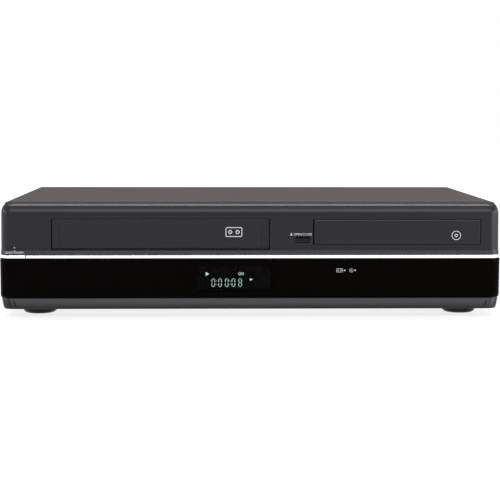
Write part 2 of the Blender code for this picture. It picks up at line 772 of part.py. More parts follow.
def slit_cutters():
    """The two slanted slits near the ends of the skirt."""
    cutters = []
    middle_z = (BEZEL_BOTTOM_Z + BAY_BOTTOM_Z) / 2
    for side in (-1, 1):
        x = side * SKIRT_SLIT_OFFSET
        points = [
            (x - side * SKIRT_SLIT_LEAN - SKIRT_SLIT_WIDTH / 2, middle_z - SKIRT_SLIT_HEIGHT / 2),
            (x - side * SKIRT_SLIT_LEAN + SKIRT_SLIT_WIDTH / 2, middle_z - SKIRT_SLIT_HEIGHT / 2),
            (x + side * SKIRT_SLIT_LEAN + SKIRT_SLIT_WIDTH / 2, middle_z + SKIRT_SLIT_HEIGHT / 2),
            (x + side * SKIRT_SLIT_LEAN - SKIRT_SLIT_WIDTH / 2, middle_z + SKIRT_SLIT_HEIGHT / 2),
        ]
        side_word = "left" if side < 0 else "right"
        cutters.append(
            outline_block(
                "slit_cut_" + side_word, points, "Y", 2 * SKIRT_SLIT_DEPTH,
                (0.0, FRONT_Y + SKIRT_SET_BACK + SKIRT_LEAN / 2, 0.0),
            )
        )
    return cutters


def band_ring(name, set_back, rear_y, inside, z_span, look=None, origin=(0.0, 0.0, 0.0)):
    """A strip that follows the bezel's front and rounded ends at one level."""
    ring = plan_block(
        name, HALF_BEZEL + set_back, (FRONT_Y - set_back, rear_y), z_span, BEZEL_CORNER, look, origin
    )
    core = plan_block(
        name + "_core", HALF_BEZEL - inside, (FRONT_Y + inside, rear_y + OVERRUN),
        (z_span[0] - OVERRUN, z_span[1] + OVERRUN), BEZEL_CORNER - inside / 2,
    )
    return cut(ring, core)


def flap_lug_spans():
    """The X span of the bezel lug beyond each end of the flap."""
    left = FLAP_LEFT - FLAP_SIDE_GAP
    right = FLAP_RIGHT + FLAP_SIDE_GAP
    return ((left - FLAP_LUG_WIDTH, left), (right, right + FLAP_LUG_WIDTH))


def door_ear_spans():
    """The X span of the bezel ear that holds each door pin."""
    inner = HALF_DOOR - DOOR_WALL - GAP - DOOR_EAR_THICKNESS
    return ((-inner - DOOR_EAR_THICKNESS, -inner), (inner, inner + DOOR_EAR_THICKNESS))


def front_bezel():
    """The charcoal front moulding with its openings, lugs and ears."""
    middle_y = (FRONT_Y + BEZEL_REAR_Y) / 2
    bezel = plan_block(
        "front_bezel", HALF_BEZEL, (FRONT_Y, BEZEL_REAR_Y),
        (BEZEL_BOTTOM_Z, BEZEL_TOP_Z), BEZEL_CORNER, charcoal(),
    )
    side = outline_block("bezel_side", bezel_side_outline(), "X", BEZEL_WIDTH + OVERRUN)
    front = outline_block(
        "bezel_front", bezel_front_outline(), "Y", BEZEL_DEPTH + OVERRUN, (0.0, middle_y, 0.0)
    )
    boolean(bezel, side, "INTERSECT")
    boolean(bezel, front, "INTERSECT")
    inside = HALF_BEZEL - CROWN_NARROWING - BEZEL_WALL
    rear = BEZEL_REAR_Y + OVERRUN
    shelf_z = BAND_TOP_Z + BEZEL_WALL / 2
    cut(
        bezel,
        box("upper_hollow", (-inside, inside), (FACE_BACK_Y, rear), (shelf_z, FACE_TOP_Z - BITE)),
        box("crown_hollow", (-inside, inside), (FACE_BACK_Y + SLOPE_RUN, rear),
            (FACE_TOP_Z - 2 * BITE, BEZEL_TOP_Z - BEZEL_WALL)),
        box("bay", (-HALF_BEZEL - OVERRUN, HALF_BEZEL + OVERRUN), (FRONT_Y - OVERRUN, FRONT_Y + WRAP_DEPTH),
            (BAY_BOTTOM_Z, BAY_TOP_Z)),
        box("bay_rear", (-inside, inside), (middle_y - BEZEL_DEPTH / 2 + OVERRUN, rear),
            (BAY_BOTTOM_Z + PANEL_FRAME_MARGIN, BAY_TOP_Z - PANEL_FRAME_MARGIN)),
        box("skirt_hollow", (-inside, inside), (FRONT_Y + SKIRT_LEAN + SKIRT_SET_BACK + BEZEL_WALL, rear),
            (BEZEL_BOTTOM_Z + BEZEL_WALL, BAY_BOTTOM_Z - BEZEL_WALL)),
        band_ring("trim_groove", OVERRUN, FRONT_Y + WRAP_DEPTH + BITE,
                  TRIM_DEPTH + TRIM_SET_BACK + BUTTON_TRAVEL,
                  (BAY_TOP_Z - BITE, BAND_TOP_Z)),
        box("flap_opening", (FLAP_LEFT - FLAP_SIDE_GAP, FLAP_RIGHT + FLAP_SIDE_GAP),
            (FRONT_Y - OVERRUN, FACE_BACK_Y + OVERRUN),
            (FLAP_BOTTOM_Z - FLAP_BOTTOM_GAP, FLAP_TOP_Z + GAP)),
        box("tray_opening", (TRAY_FRONT_LEFT - TRAY_FRONT_LEFT_GAP, TRAY_FRONT_RIGHT + TRAY_FRONT_GAP),
            (FRONT_Y - OVERRUN, FACE_BACK_Y + OVERRUN),
            (TRAY_FRONT_BOTTOM_Z - TRAY_FRONT_GAP, TRAY_FRONT_TOP_Z + TRAY_FRONT_GAP)),
        box("eject_opening", (EJECT_CENTRE_X - EJECT_WIDTH / 2 - GAP,
                              EJECT_CENTRE_X + EJECT_WIDTH / 2 + GAP),
            (FRONT_Y - OVERRUN, FACE_BACK_Y + OVERRUN),
            (EJECT_CENTRE_Z - EJECT_HEIGHT / 2 - GAP, EJECT_CENTRE_Z + EJECT_HEIGHT / 2 + GAP)),
        box("stem_opening",
            (-POWER_STEM_OFFSET - POWER_STEM_WIDTH / 2 - GAP, -POWER_STEM_OFFSET + POWER_STEM_WIDTH / 2 + GAP),
            (FRONT_Y, FRONT_Y + TRIM_DEPTH + 3 * BEZEL_WALL),
            (BAY_TOP_Z + (TRIM_BAND_HEIGHT - POWER_STEM_HEIGHT) / 2 - GAP,
             BAND_TOP_Z - (TRIM_BAND_HEIGHT - POWER_STEM_HEIGHT) / 2 + GAP)),
        *slit_cutters(),
    )
    for word, span in zip(("left", "right"), flap_lug_spans()):
        lug = box("flap_lug_" + word, span,
                  (FACE_BACK_Y - BITE, FLAP_AXIS_Y + FLAP_LUG_HALF),
                  (FLAP_AXIS_Z - FLAP_LUG_HALF, FLAP_AXIS_Z + FLAP_LUG_HALF))
        hole = rod("flap_lug_hole_" + word, (span[0] - OVERRUN, FLAP_AXIS_Y, FLAP_AXIS_Z),
                   (span[1] + OVERRUN, FLAP_AXIS_Y, FLAP_AXIS_Z), FLAP_PIN_RADIUS + PIN_GAP)
        join(bezel, lug)
        cut(bezel, hole)
    for word, span in zip(("left", "right"), door_ear_spans()):
        ear = rod("door_ear_" + word, (span[0], DOOR_AXIS_Y, DOOR_AXIS_Z),
                  (span[1], DOOR_AXIS_Y, DOOR_AXIS_Z),
                  DOOR_EAR_RADIUS, ROUND_SIDES)
        arm = box("door_ear_arm_" + word, (span[0] + GAP, span[1] - GAP),
                  (DOOR_AXIS_Y + (DOOR_EAR_RADIUS + DOOR_PIN_RADIUS + PIN_GAP) / 2,
                   FRONT_Y + WRAP_DEPTH + BITE),
                  (DOOR_AXIS_Z + GAP, DOOR_AXIS_Z + DOOR_EAR_RADIUS - GAP))
        hole = rod("door_ear_hole_" + word, (span[0] - OVERRUN, DOOR_AXIS_Y, DOOR_AXIS_Z),
                   (span[1] + OVERRUN, DOOR_AXIS_Y, DOOR_AXIS_Z), DOOR_PIN_RADIUS + PIN_GAP)
        cut(ear, hole)
        join(bezel, arm, ear)
    return bezel


def trim_and_power_button():
    """The bright strip, and its left end, which is the power button."""
    z_span = (BAY_TOP_Z + GAP, BAND_TOP_Z - GAP)
    split_x = -HALF_BEZEL + POWER_BUTTON_LENGTH
    inside = TRIM_DEPTH + TRIM_SET_BACK
    trim = band_ring("trim_strip", -TRIM_SET_BACK, FRONT_Y + WRAP_DEPTH - GAP, inside, z_span,
                     bright_trim())
    cut(trim, box("trim_end_cut", (-HALF_BEZEL - OVERRUN, split_x + GAP), (FRONT_Y - OVERRUN, BEZEL_REAR_Y),
                  (z_span[0] - OVERRUN, z_span[1] + OVERRUN)))
    seat = box("trim_seat", (split_x + BEZEL_WALL, HALF_BEZEL - BEZEL_CORNER * 2),
               (FRONT_Y + inside - BITE, FRONT_Y + inside + BUTTON_TRAVEL - GAP), z_span)
    join(trim, seat)
    middle_z = (z_span[0] + z_span[1]) / 2
    button = band_ring("power_button", -TRIM_SET_BACK, FRONT_Y + WRAP_DEPTH - GAP - BUTTON_TRAVEL, inside,
                       z_span, bright_trim(), (-POWER_STEM_OFFSET, FRONT_Y + inside, middle_z))
    cut(button, box("power_end_cut", (split_x - GAP, HALF_BEZEL + OVERRUN),
                    (FRONT_Y - OVERRUN, BEZEL_REAR_Y),
                    (z_span[0] - OVERRUN, z_span[1] + OVERRUN)))
    stem = box("power_stem",
               (-POWER_STEM_OFFSET - POWER_STEM_WIDTH / 2, -POWER_STEM_OFFSET + POWER_STEM_WIDTH / 2),
               (FRONT_Y + inside - BITE, FRONT_Y + inside + POWER_STEM_LENGTH),
               (middle_z - POWER_STEM_HEIGHT / 2, middle_z + POWER_STEM_HEIGHT / 2))
    join(button, stem)


def eject_button():
    """The small open and close button with its flange behind the bezel wall."""
    origin = (EJECT_CENTRE_X, FACE_Y, EJECT_CENTRE_Z)
    flange_y = FACE_BACK_Y + GAP
    cap = box("eject_button",
              (EJECT_CENTRE_X - EJECT_WIDTH / 2, EJECT_CENTRE_X + EJECT_WIDTH / 2),
              (FACE_Y - EJECT_PROUD, flange_y + FLANGE_THICKNESS / 2),
              (EJECT_CENTRE_Z - EJECT_HEIGHT / 2, EJECT_CENTRE_Z + EJECT_HEIGHT / 2),
              origin, charcoal())
    half_width = EJECT_WIDTH / 2 + FLANGE_MARGIN
    half_height = EJECT_HEIGHT / 2 + FLANGE_MARGIN
    flange = box("eject_flange", (EJECT_CENTRE_X - half_width, EJECT_CENTRE_X + half_width),
                 (flange_y, flange_y + FLANGE_THICKNESS),
                 (EJECT_CENTRE_Z - half_height, EJECT_CENTRE_Z + half_height))
    join(cap, flange)


def front_door():
    """The gloss black door: a wrapped panel with a rounded lower edge and end pins."""
    half = HALF_DOOR
    z_span = (BAY_BOTTOM_Z + GAP, BAY_TOP_Z - GAP)
    rear_y = FRONT_Y + WRAP_DEPTH - GAP
    door = plan_block("front_door", half, (FRONT_Y, rear_y), z_span, DOOR_CORNER, gloss_black(),
                      (0.0, DOOR_AXIS_Y, DOOR_AXIS_Z))
    inner = half - DOOR_WALL
    corner = DOOR_CORNER - DOOR_WALL
    upper_hollow = plan_block("door_upper_hollow", inner, (FRONT_Y + DOOR_WALL, rear_y + OVERRUN),
                              (DOOR_AXIS_Z + BITE, z_span[1] + OVERRUN), corner)
    lower_hollow = box("door_lower_hollow", (-inner + BITE, inner - BITE), (DOOR_AXIS_Y, rear_y + OVERRUN),
                       (z_span[0] - OVERRUN, DOOR_AXIS_Z + 2 * BITE))
    front_corner = box("door_front_corner", (-half - OVERRUN, half + OVERRUN),
                       (FRONT_Y - OVERRUN, DOOR_AXIS_Y), (z_span[0] - OVERRUN, DOOR_AXIS_Z))
    rear_corner = box("door_rear_corner", (-half - OVERRUN, half + OVERRUN),
                      (DOOR_AXIS_Y, rear_y + OVERRUN), (z_span[0] - OVERRUN, DOOR_AXIS_Z))
    axis_ends = ((-half - 2 * OVERRUN, DOOR_AXIS_Y, DOOR_AXIS_Z),
                 (half + 2 * OVERRUN, DOOR_AXIS_Y, DOOR_AXIS_Z))
    cut(front_corner, rod("door_front_round", *axis_ends, DOOR_KNUCKLE, BIG_SIDES))
    cut(rear_corner, rod("door_rear_round", *axis_ends, rear_y - DOOR_AXIS_Y, BIG_SIDES))
    cut(door, upper_hollow, lower_hollow, front_corner, rear_corner)
    for side, (word, span) in zip((-1, 1), zip(("left", "right"), door_ear_spans())):
        notch = rod("door_notch_" + word, (span[0] - GAP, DOOR_AXIS_Y, DOOR_AXIS_Z),
                    (span[1] + GAP + BITE * max(side, 0), DOOR_AXIS_Y, DOOR_AXIS_Z), DOOR_EAR_RADIUS + GAP,
                    ROUND_SIDES)
        pin = rod("door_pin_" + word,
                  (side * (half - DOOR_WALL + BITE), DOOR_AXIS_Y, DOOR_AXIS_Z),
                  (side * (half - DOOR_WALL - DOOR_PIN_LENGTH), DOOR_AXIS_Y, DOOR_AXIS_Z), DOOR_PIN_RADIUS)
        cut(door, notch)
        join(door, pin)
    return door


def control_panel():
    """The plate behind the door with its display window, key holes and jack holes."""
    half = HALF_BEZEL - CROWN_NARROWING - BEZEL_WALL - GAP
    y_span = (PANEL_FRONT_Y, PANEL_BACK_Y)
    z_span = (BAY_BOTTOM_Z + PANEL_FRAME_MARGIN + GAP, BAY_TOP_Z - PANEL_FRAME_MARGIN - GAP)
    panel = box("control_panel", (-half, half), y_span, z_span, look=black_plastic())
    through = (PANEL_FRONT_Y - OVERRUN, PANEL_BACK_Y + OVERRUN)

    def openings(shape):
        add_box(shape, (DISPLAY_CENTRE_X - DISPLAY_WIDTH / 2 - GAP,
                        DISPLAY_CENTRE_X + DISPLAY_WIDTH / 2 + GAP),
                through, (DISPLAY_CENTRE_Z - DISPLAY_HEIGHT / 2 - GAP,
                          DISPLAY_CENTRE_Z + DISPLAY_HEIGHT / 2 + GAP))
        for _, column, row in KEY_NAMES:
            x, z = key_place(column, row)
            add_box(shape, (x - KEY_WIDTH / 2 - GAP, x + KEY_WIDTH / 2 + GAP), through,
                    (z - KEY_HEIGHT / 2 - GAP, z + KEY_HEIGHT / 2 + GAP))
        for x in front_jack_places():
            add_rod(shape, (x, through[0], JACK_CENTRE_Z), (x, through[1], JACK_CENTRE_Z),
                    JACK_BARREL_RADIUS + GAP, ROUND_SIDES)

    cut(panel, build("panel_openings", openings))

    def posts(shape):
        for share in PANEL_POST_SHARES:
            x = FRONT_BOARD_LEFT + share * (FRONT_BOARD_RIGHT - FRONT_BOARD_LEFT)
            for z in (z_span[0] + 2 * PANEL_POST_RADIUS, z_span[1] - 2 * PANEL_POST_RADIUS):
                add_rod(shape, (x, PANEL_BACK_Y - BITE, z),
                        (x, PANEL_BACK_Y + FRONT_BOARD_OFFSET - GAP, z), PANEL_POST_RADIUS, FEW_SIDES)

    join(panel, build("panel_posts", posts))
    return panel


def key_place(column, row):
    """Centre of one transport key as (x, z)."""
    return KEY_COLUMNS_LEFT_X + column * KEY_PITCH, KEY_ROWS_Z - row * KEY_ROW_PITCH


def front_jack_places():
    """X of each front jack."""
    return [FRONT_JACK_FIRST_X + number * JACK_PITCH for number in range(FRONT_JACK_COUNT)]


def display_and_board():
    """The display behind the panel's window and the board that carries it."""
    board_y = PANEL_BACK_Y + FRONT_BOARD_OFFSET
    box("front_board", (FRONT_BOARD_LEFT, FRONT_BOARD_RIGHT), (board_y, board_y + FRONT_BOARD_THICKNESS),
        (JACK_CENTRE_Z + GAP - FRONT_BOARD_HEIGHT / 2, JACK_CENTRE_Z + GAP + FRONT_BOARD_HEIGHT / 2),
        look=board_green())
    box("display_module",
        (DISPLAY_CENTRE_X - DISPLAY_WIDTH / 2, DISPLAY_CENTRE_X + DISPLAY_WIDTH / 2),
        (board_y - GAP - DISPLAY_DEPTH, board_y - GAP),
        (DISPLAY_CENTRE_Z - DISPLAY_HEIGHT / 2, DISPLAY_CENTRE_Z + DISPLAY_HEIGHT / 2),
        look=display_glass())


def transport_keys():
    """The keys, each with a flange behind the panel."""
    flange_y = PANEL_BACK_Y + GAP
    for name, column, row in KEY_NAMES:
        x, z = key_place(column, row)
        key = box(name, (x - KEY_WIDTH / 2, x + KEY_WIDTH / 2),
                  (PANEL_FRONT_Y - KEY_PROUD, flange_y + BITE),
                  (z - KEY_HEIGHT / 2, z + KEY_HEIGHT / 2), (x, PANEL_FRONT_Y, z), pale_plastic())
        flange = box(name + "_flange",
                     (x - KEY_WIDTH / 2 - FLANGE_MARGIN, x + KEY_WIDTH / 2 + FLANGE_MARGIN),
                     (flange_y, flange_y + KEY_BACK - GAP),
                     (z - KEY_HEIGHT / 2 - FLANGE_MARGIN, z + KEY_HEIGHT / 2 + FLANGE_MARGIN))
        join(key, flange)


def front_jacks():
    """One moulded block with the front sockets."""
    places = front_jack_places()
    block = box("front_jack_block", (places[0] - JACK_BLOCK_MARGIN, places[-1] + JACK_BLOCK_MARGIN),
                (PANEL_BACK_Y + GAP, PANEL_BACK_Y + GAP + JACK_BLOCK_DEPTH),
                (JACK_CENTRE_Z - JACK_BLOCK_HEIGHT / 2, JACK_CENTRE_Z + JACK_BLOCK_HEIGHT / 2),
                look=black_plastic())

    def barrels(shape):
        for x in places:
            add_rod(shape, (x, PANEL_FRONT_Y - JACK_BARREL_LENGTH, JACK_CENTRE_Z),
                    (x, PANEL_BACK_Y + BITE, JACK_CENTRE_Z), JACK_BARREL_RADIUS, ROUND_SIDES)

    def bores(shape):
        for x in places:
            add_rod(shape, (x, PANEL_FRONT_Y - JACK_BARREL_LENGTH - OVERRUN, JACK_CENTRE_Z),
                    (x, PANEL_BACK_Y + JACK_BLOCK_DEPTH / 2, JACK_CENTRE_Z), JACK_BORE_RADIUS, FEW_SIDES)

    join(block, build("jack_barrels", barrels))
    cut(block, build("jack_bores", bores))


# Casing
def folded_sheet(name, points, y_span, thickness, look):
    """A sheet folded along Y from (x, z) points, then given its thickness."""
    shape = bmesh.new()
    verts = [shape.verts.new((x, y_span[0], z)) for x, z in points]
    edges = [shape.edges.new(pair) for pair in zip(verts, verts[1:])]
    drawn = bmesh.ops.extrude_edge_only(shape, edges=edges)["geom"]
    moved = [item for item in drawn if isinstance(item, bmesh.types.BMVert)]
    bmesh.ops.translate(shape, verts=moved, vec=(0.0, y_span[1] - y_span[0], 0.0))
    bmesh.ops.recalc_face_normals(shape, faces=shape.faces)
    mesh = bpy.data.meshes.new(name)
    shape.to_mesh(mesh)
    shape.free()
    made = place(name, mesh, (0.0, 0.0, 0.0), look)
    shell = made.modifiers.new("sheet", "SOLIDIFY")
    shell.thickness = thickness
    shell.use_even_offset = True
    return made, shell


def fold_points(half, low_z, high_z, fold):
    """An upright U or an arch, from its left hem over to its right hem."""
    turn = fold if high_z > low_z else -fold
    points = [(-half, low_z)]
    for step in range(CORNER_STEPS):
        angle = math.pi / 2 * step / (CORNER_STEPS - 1)
        points.append((-half + fold * (1 - math.cos(angle)), high_z - turn * (1 - math.sin(angle))))
    return points + [(-x, z) for x, z in reversed(points)]


def cover_screw_places():
    """(x side, y, z) of each side screw."""
    z = PAN_BOTTOM_Z + COVER_SCREW_LIFT
    return [
        ("left_front", -1, FRONT_Y + COVER_SCREW_FRONT_SETBACK, z),
        ("left_rear", -1, REAR_INNER_Y - COVER_SCREW_REAR_SETBACK, z),
        ("right_front", 1, FRONT_Y + COVER_SCREW_FRONT_SETBACK, z),
        ("right_rear", 1, REAR_INNER_Y - COVER_SCREW_REAR_SETBACK, z),
    ]


def top_cover():
    """The folded top cover with its side vents and screw holes."""
    half = HALF_COVER
    points = fold_points(half, COVER_HEM_Z, COVER_TOP_Z, COVER_FOLD)
    cover, shell = folded_sheet("top_cover", points, (COVER_FRONT_Y, COVER_REAR_Y), COVER_SHEET,
                                cover_paint())
    shell.offset = -1.0

    def vents(shape):
        for side in (-1, 1):
            x_span = sorted((side * (half - COVER_SHEET - OVERRUN), side * (half + OVERRUN)))
            for row in range(VENT_ROW_COUNT):
                low = PAN_BOTTOM_Z + VENT_LIFT - row * VENT_ROW_PITCH
                for number in range(VENT_COUNT):
                    y = FRONT_Y + VENT_SETBACK + number * VENT_PITCH
                    add_box(shape, x_span, (y - VENT_WIDTH / 2, y + VENT_WIDTH / 2),
                            (low, low + VENT_HEIGHT))

    def holes(shape):
        for _, side, y, z in cover_screw_places():
            add_rod(shape, (side * (half - 2 * OVERRUN), y, z), (side * (half + OVERRUN), y, z),
                    SCREW_HOLE_RADIUS, FEW_SIDES)

    cut(cover, build("cover_vents", vents), build("cover_holes", holes))
    return cover


def foot_places():
    """(name, x, y) of each foot."""
    return [
        ("foot_front_left", -FOOT_CENTRE_OFFSET, FRONT_Y + FOOT_FRONT_SETBACK),
        ("foot_front_right", FOOT_CENTRE_OFFSET, FRONT_Y + FOOT_FRONT_SETBACK),
        ("foot_rear_left", -FOOT_CENTRE_OFFSET, COVER_REAR_Y - FOOT_REAR_SETBACK),
        ("foot_rear_right", FOOT_CENTRE_OFFSET, COVER_REAR_Y - FOOT_REAR_SETBACK),
    ]


def chassis_base():
    """The folded pan with its vents and screw holes."""
    points = fold_points(PAN_HALF, PAN_BOTTOM_Z + PAN_WALL_HEIGHT, PAN_BOTTOM_Z, PAN_FOLD)
    pan, shell = folded_sheet("chassis_base", points, (COVER_FRONT_Y, REAR_INNER_Y - GAP), PAN_SHEET,
                              zinc())
    shell.offset = -1.0

    def vents(shape):
        for number in range(PAN_VENT_COUNT):
            x = PAN_VENT_PLACE[0] + (number - (PAN_VENT_COUNT - 1) / 2) * PAN_VENT_PITCH
            add_box(shape, (x - PAN_VENT_WIDTH / 2, x + PAN_VENT_WIDTH / 2),
                    (PAN_VENT_PLACE[1] - PAN_VENT_LENGTH / 2, PAN_VENT_PLACE[1] + PAN_VENT_LENGTH / 2),
                    (PAN_BOTTOM_Z - OVERRUN, PAN_TOP_Z + OVERRUN))

    def holes(shape):
        for _, side, y, z in cover_screw_places():
            add_rod(shape, (side * (PAN_HALF - OVERRUN), y, z), (side * (PAN_HALF + OVERRUN), y, z),
                    SCREW_HOLE_RADIUS, FEW_SIDES)

    cut(pan, build("pan_vents", vents), build("pan_holes", holes))
    return pan


def feet():
    """Four round feet under the pan."""
    for name, x, y in foot_places():
        profile = [
            (0.0, FOOT_HEIGHT),
            (FOOT_RADIUS, FOOT_HEIGHT),
            (FOOT_RADIUS, FOOT_TOE_HEIGHT),
            ((FOOT_RADIUS + FOOT_TOE_RADIUS) / 2, FOOT_TOE_HEIGHT / 3),
            (FOOT_TOE_RADIUS, 0.0),
            (0.0, 0.0),
        ]
        turned(name, profile, (x, y, 0.0), gloss_black())


def screw_profile():
    """A pan-head screw along its own axis, head upwards, seat at height zero."""
    return [
        (0.0, SCREW_HEAD_HEIGHT - SCREW_SOCKET_DEPTH),
        (SCREW_SOCKET_RADIUS, SCREW_HEAD_HEIGHT - SCREW_SOCKET_DEPTH),
        (SCREW_SOCKET_RADIUS, SCREW_HEAD_HEIGHT),
        (SCREW_HEAD_RADIUS - SCREW_HEAD_HEIGHT / 2, SCREW_HEAD_HEIGHT),
        (SCREW_HEAD_RADIUS, SCREW_HEAD_HEIGHT / 2),
        (SCREW_HEAD_RADIUS, 0.0),
        (SCREW_SHANK_RADIUS, 0.0),
        (SCREW_SHANK_RADIUS, -SCREW_SHANK_LENGTH),
        (0.0, -SCREW_SHANK_LENGTH),
    ]


def rear_screw_places():
    """(name, x, z) of each rear panel screw."""
    z = COVER_TOP_Z - REAR_SCREW_DROP
    return [("rear_screw_left", -REAR_SCREW_OFFSET, z), ("rear_screw_right", REAR_SCREW_OFFSET, z)]


def screws():
    """Side screws through the cover into the pan, and rear panel screws."""
    quarter = math.pi / 2
    for word, side, y, z in cover_screw_places():
        x = side * (HALF_COVER + GAP)
        turned("cover_screw_" + word, screw_profile(), (x, y, z), steel(), FEW_SIDES,
               (0.0, side * quarter, 0.0))
    for name, x, z in rear_screw_places():
        turned(name, screw_profile(), (x, REAR_PANEL_Y + GAP, z), steel(), FEW_SIDES, (-quarter, 0.0, 0.0))


def rear_jack_places():
    """(x, z) of each rear jack."""
    return [
        (REAR_JACK_FIRST_X + column * JACK_PITCH, REAR_JACK_LOW_Z + row * JACK_PITCH)
        for column in range(REAR_JACK_COLUMNS)
        for row in range(REAR_JACK_ROWS)
    ]


def aerial_places():
    """(x, z) of each aerial socket."""
    return [(TUNER_CENTRE_X, AERIAL_LOW_Z), (TUNER_CENTRE_X, AERIAL_LOW_Z + AERIAL_PITCH)]


def rear_panel():
    """The flat rear sheet with every socket hole and the fan slots."""
    half = PAN_HALF - GAP
    panel = box("rear_panel", (-half, half), (REAR_INNER_Y, REAR_PANEL_Y),
                (PAN_BOTTOM_Z + GAP, COVER_TOP_Z - COVER_SHEET - GAP), look=zinc())
    near = REAR_INNER_Y - OVERRUN
    far = REAR_PANEL_Y + OVERRUN

    def openings(shape):
        for x, z in rear_jack_places():
            add_rod(shape, (x, near, z), (x, far, z), JACK_BARREL_RADIUS + GAP, FEW_SIDES)
        for x, z in aerial_places():
            add_rod(shape, (x, near, z), (x, far, z), AERIAL_RADIUS + GAP, FEW_SIDES)
        for _, x, z in rear_screw_places():
            add_rod(shape, (x, near, z), (x, far, z), SCREW_HOLE_RADIUS, FEW_SIDES)
        add_box(shape,
                (VIDEO_SOCKET_X - VIDEO_SOCKET_SIZE[0] / 2 - GAP,
                 VIDEO_SOCKET_X + VIDEO_SOCKET_SIZE[0] / 2 + GAP),
                (near, far),
                (VIDEO_SOCKET_Z - VIDEO_SOCKET_SIZE[2] / 2 - GAP,
                 VIDEO_SOCKET_Z + VIDEO_SOCKET_SIZE[2] / 2 + GAP))
        add_box(shape, (INLET_CENTRE_X - INLET_BODY[0] / 2 - GAP, INLET_CENTRE_X + INLET_BODY[0] / 2 + GAP),
                (near, far), (INLET_CENTRE_Z - INLET_BODY[2] / 2 - GAP,
                              INLET_CENTRE_Z + INLET_BODY[2] / 2 + GAP))
        for number in range(FAN_SLOT_COUNT):
            z = FAN_CENTRE_Z + (number - (FAN_SLOT_COUNT - 1) / 2) * FAN_SLOT_PITCH
            reach = math.sqrt(FAN_BORE_RADIUS ** 2 - (z - FAN_CENTRE_Z) ** 2)
            add_box(shape, (FAN_CENTRE_X - reach, FAN_CENTRE_X + reach), (near, far),
                    (z - FAN_SLOT_WIDTH / 2, z + FAN_SLOT_WIDTH / 2))

    cut(panel, build("rear_openings", openings))
    return panel


def cassette_flap():
    """The flap that closes the cassette opening, hung from two ears at its top."""
    origin = (CASSETTE_X, FLAP_AXIS_Y, FLAP_AXIS_Z)
    face = FACE_Y + GAP
    back = face + FLAP_THICKNESS
    flap = box("cassette_flap", (FLAP_LEFT, FLAP_RIGHT), (face, back), (FLAP_BOTTOM_Z, FLAP_TOP_Z),
               origin, charcoal())

    def ears(shape):
        for low in (FLAP_LEFT, FLAP_RIGHT - FLAP_EAR_WIDTH):
            add_box(shape, (low, low + FLAP_EAR_WIDTH), (back - BITE, FLAP_AXIS_Y + FLAP_EAR_RADIUS - BITE),
                    (FLAP_TOP_Z - FLAP_EAR_LENGTH, FLAP_TOP_Z - BITE))

    def risers(shape):
        for low in (FLAP_LEFT, FLAP_RIGHT - FLAP_EAR_WIDTH):
            add_box(shape, (low, low + FLAP_EAR_WIDTH),
                    (FLAP_AXIS_Y - FLAP_EAR_RADIUS + 2 * BITE, FLAP_AXIS_Y + FLAP_EAR_RADIUS - 2 * BITE),
                    (FLAP_TOP_Z - 2 * BITE, FLAP_AXIS_Z))

    def bosses(shape):
        for low in (FLAP_LEFT, FLAP_RIGHT - FLAP_EAR_WIDTH):
            add_rod(shape, (low, FLAP_AXIS_Y, FLAP_AXIS_Z), (low + FLAP_EAR_WIDTH, FLAP_AXIS_Y,
                                                             FLAP_AXIS_Z),
                    FLAP_EAR_RADIUS, FEW_SIDES)

    def pins(shape):
        ends = ((FLAP_LEFT + BITE, FLAP_LEFT - FLAP_PIN_LENGTH),
                (FLAP_RIGHT - BITE, FLAP_RIGHT + FLAP_PIN_LENGTH))
        for inner, outer in ends:
            add_rod(shape, (inner, FLAP_AXIS_Y, FLAP_AXIS_Z), (outer, FLAP_AXIS_Y, FLAP_AXIS_Z),
                    FLAP_PIN_RADIUS, FEW_SIDES)

    def ridges(shape):
        for x in (FLAP_LEFT + FLAP_RIDGE_INSET, FLAP_RIGHT - FLAP_RIDGE_INSET):
            add_box(shape, (x - FLAP_RIDGE_WIDTH / 2, x + FLAP_RIDGE_WIDTH / 2),
                    (face - OVERRUN, face + FLAP_RIDGE_DEPTH),
                    (FLAP_BOTTOM_Z + FLAP_RIDGE_INSET / 4, FLAP_TOP_Z - FLAP_RIDGE_INSET / 2))

    join(flap, build("flap_ears", ears), build("flap_risers", risers), build("flap_bosses", bosses),
         build("flap_pins", pins))
    cut(flap, build("flap_ridges", ridges))
    return flap


# Disc drive
def rack_tooth_places():
    """Y of each rack tooth, in mesh with the gear at rest."""
    first = GEAR_Y - RACK_PITCH * 2
    count = int((TRAY_FRONT_Y + TRAY_LENGTH - BITE - first) / RACK_PITCH)
    return [first + (number + 0.5) * RACK_PITCH for number in range(count)]


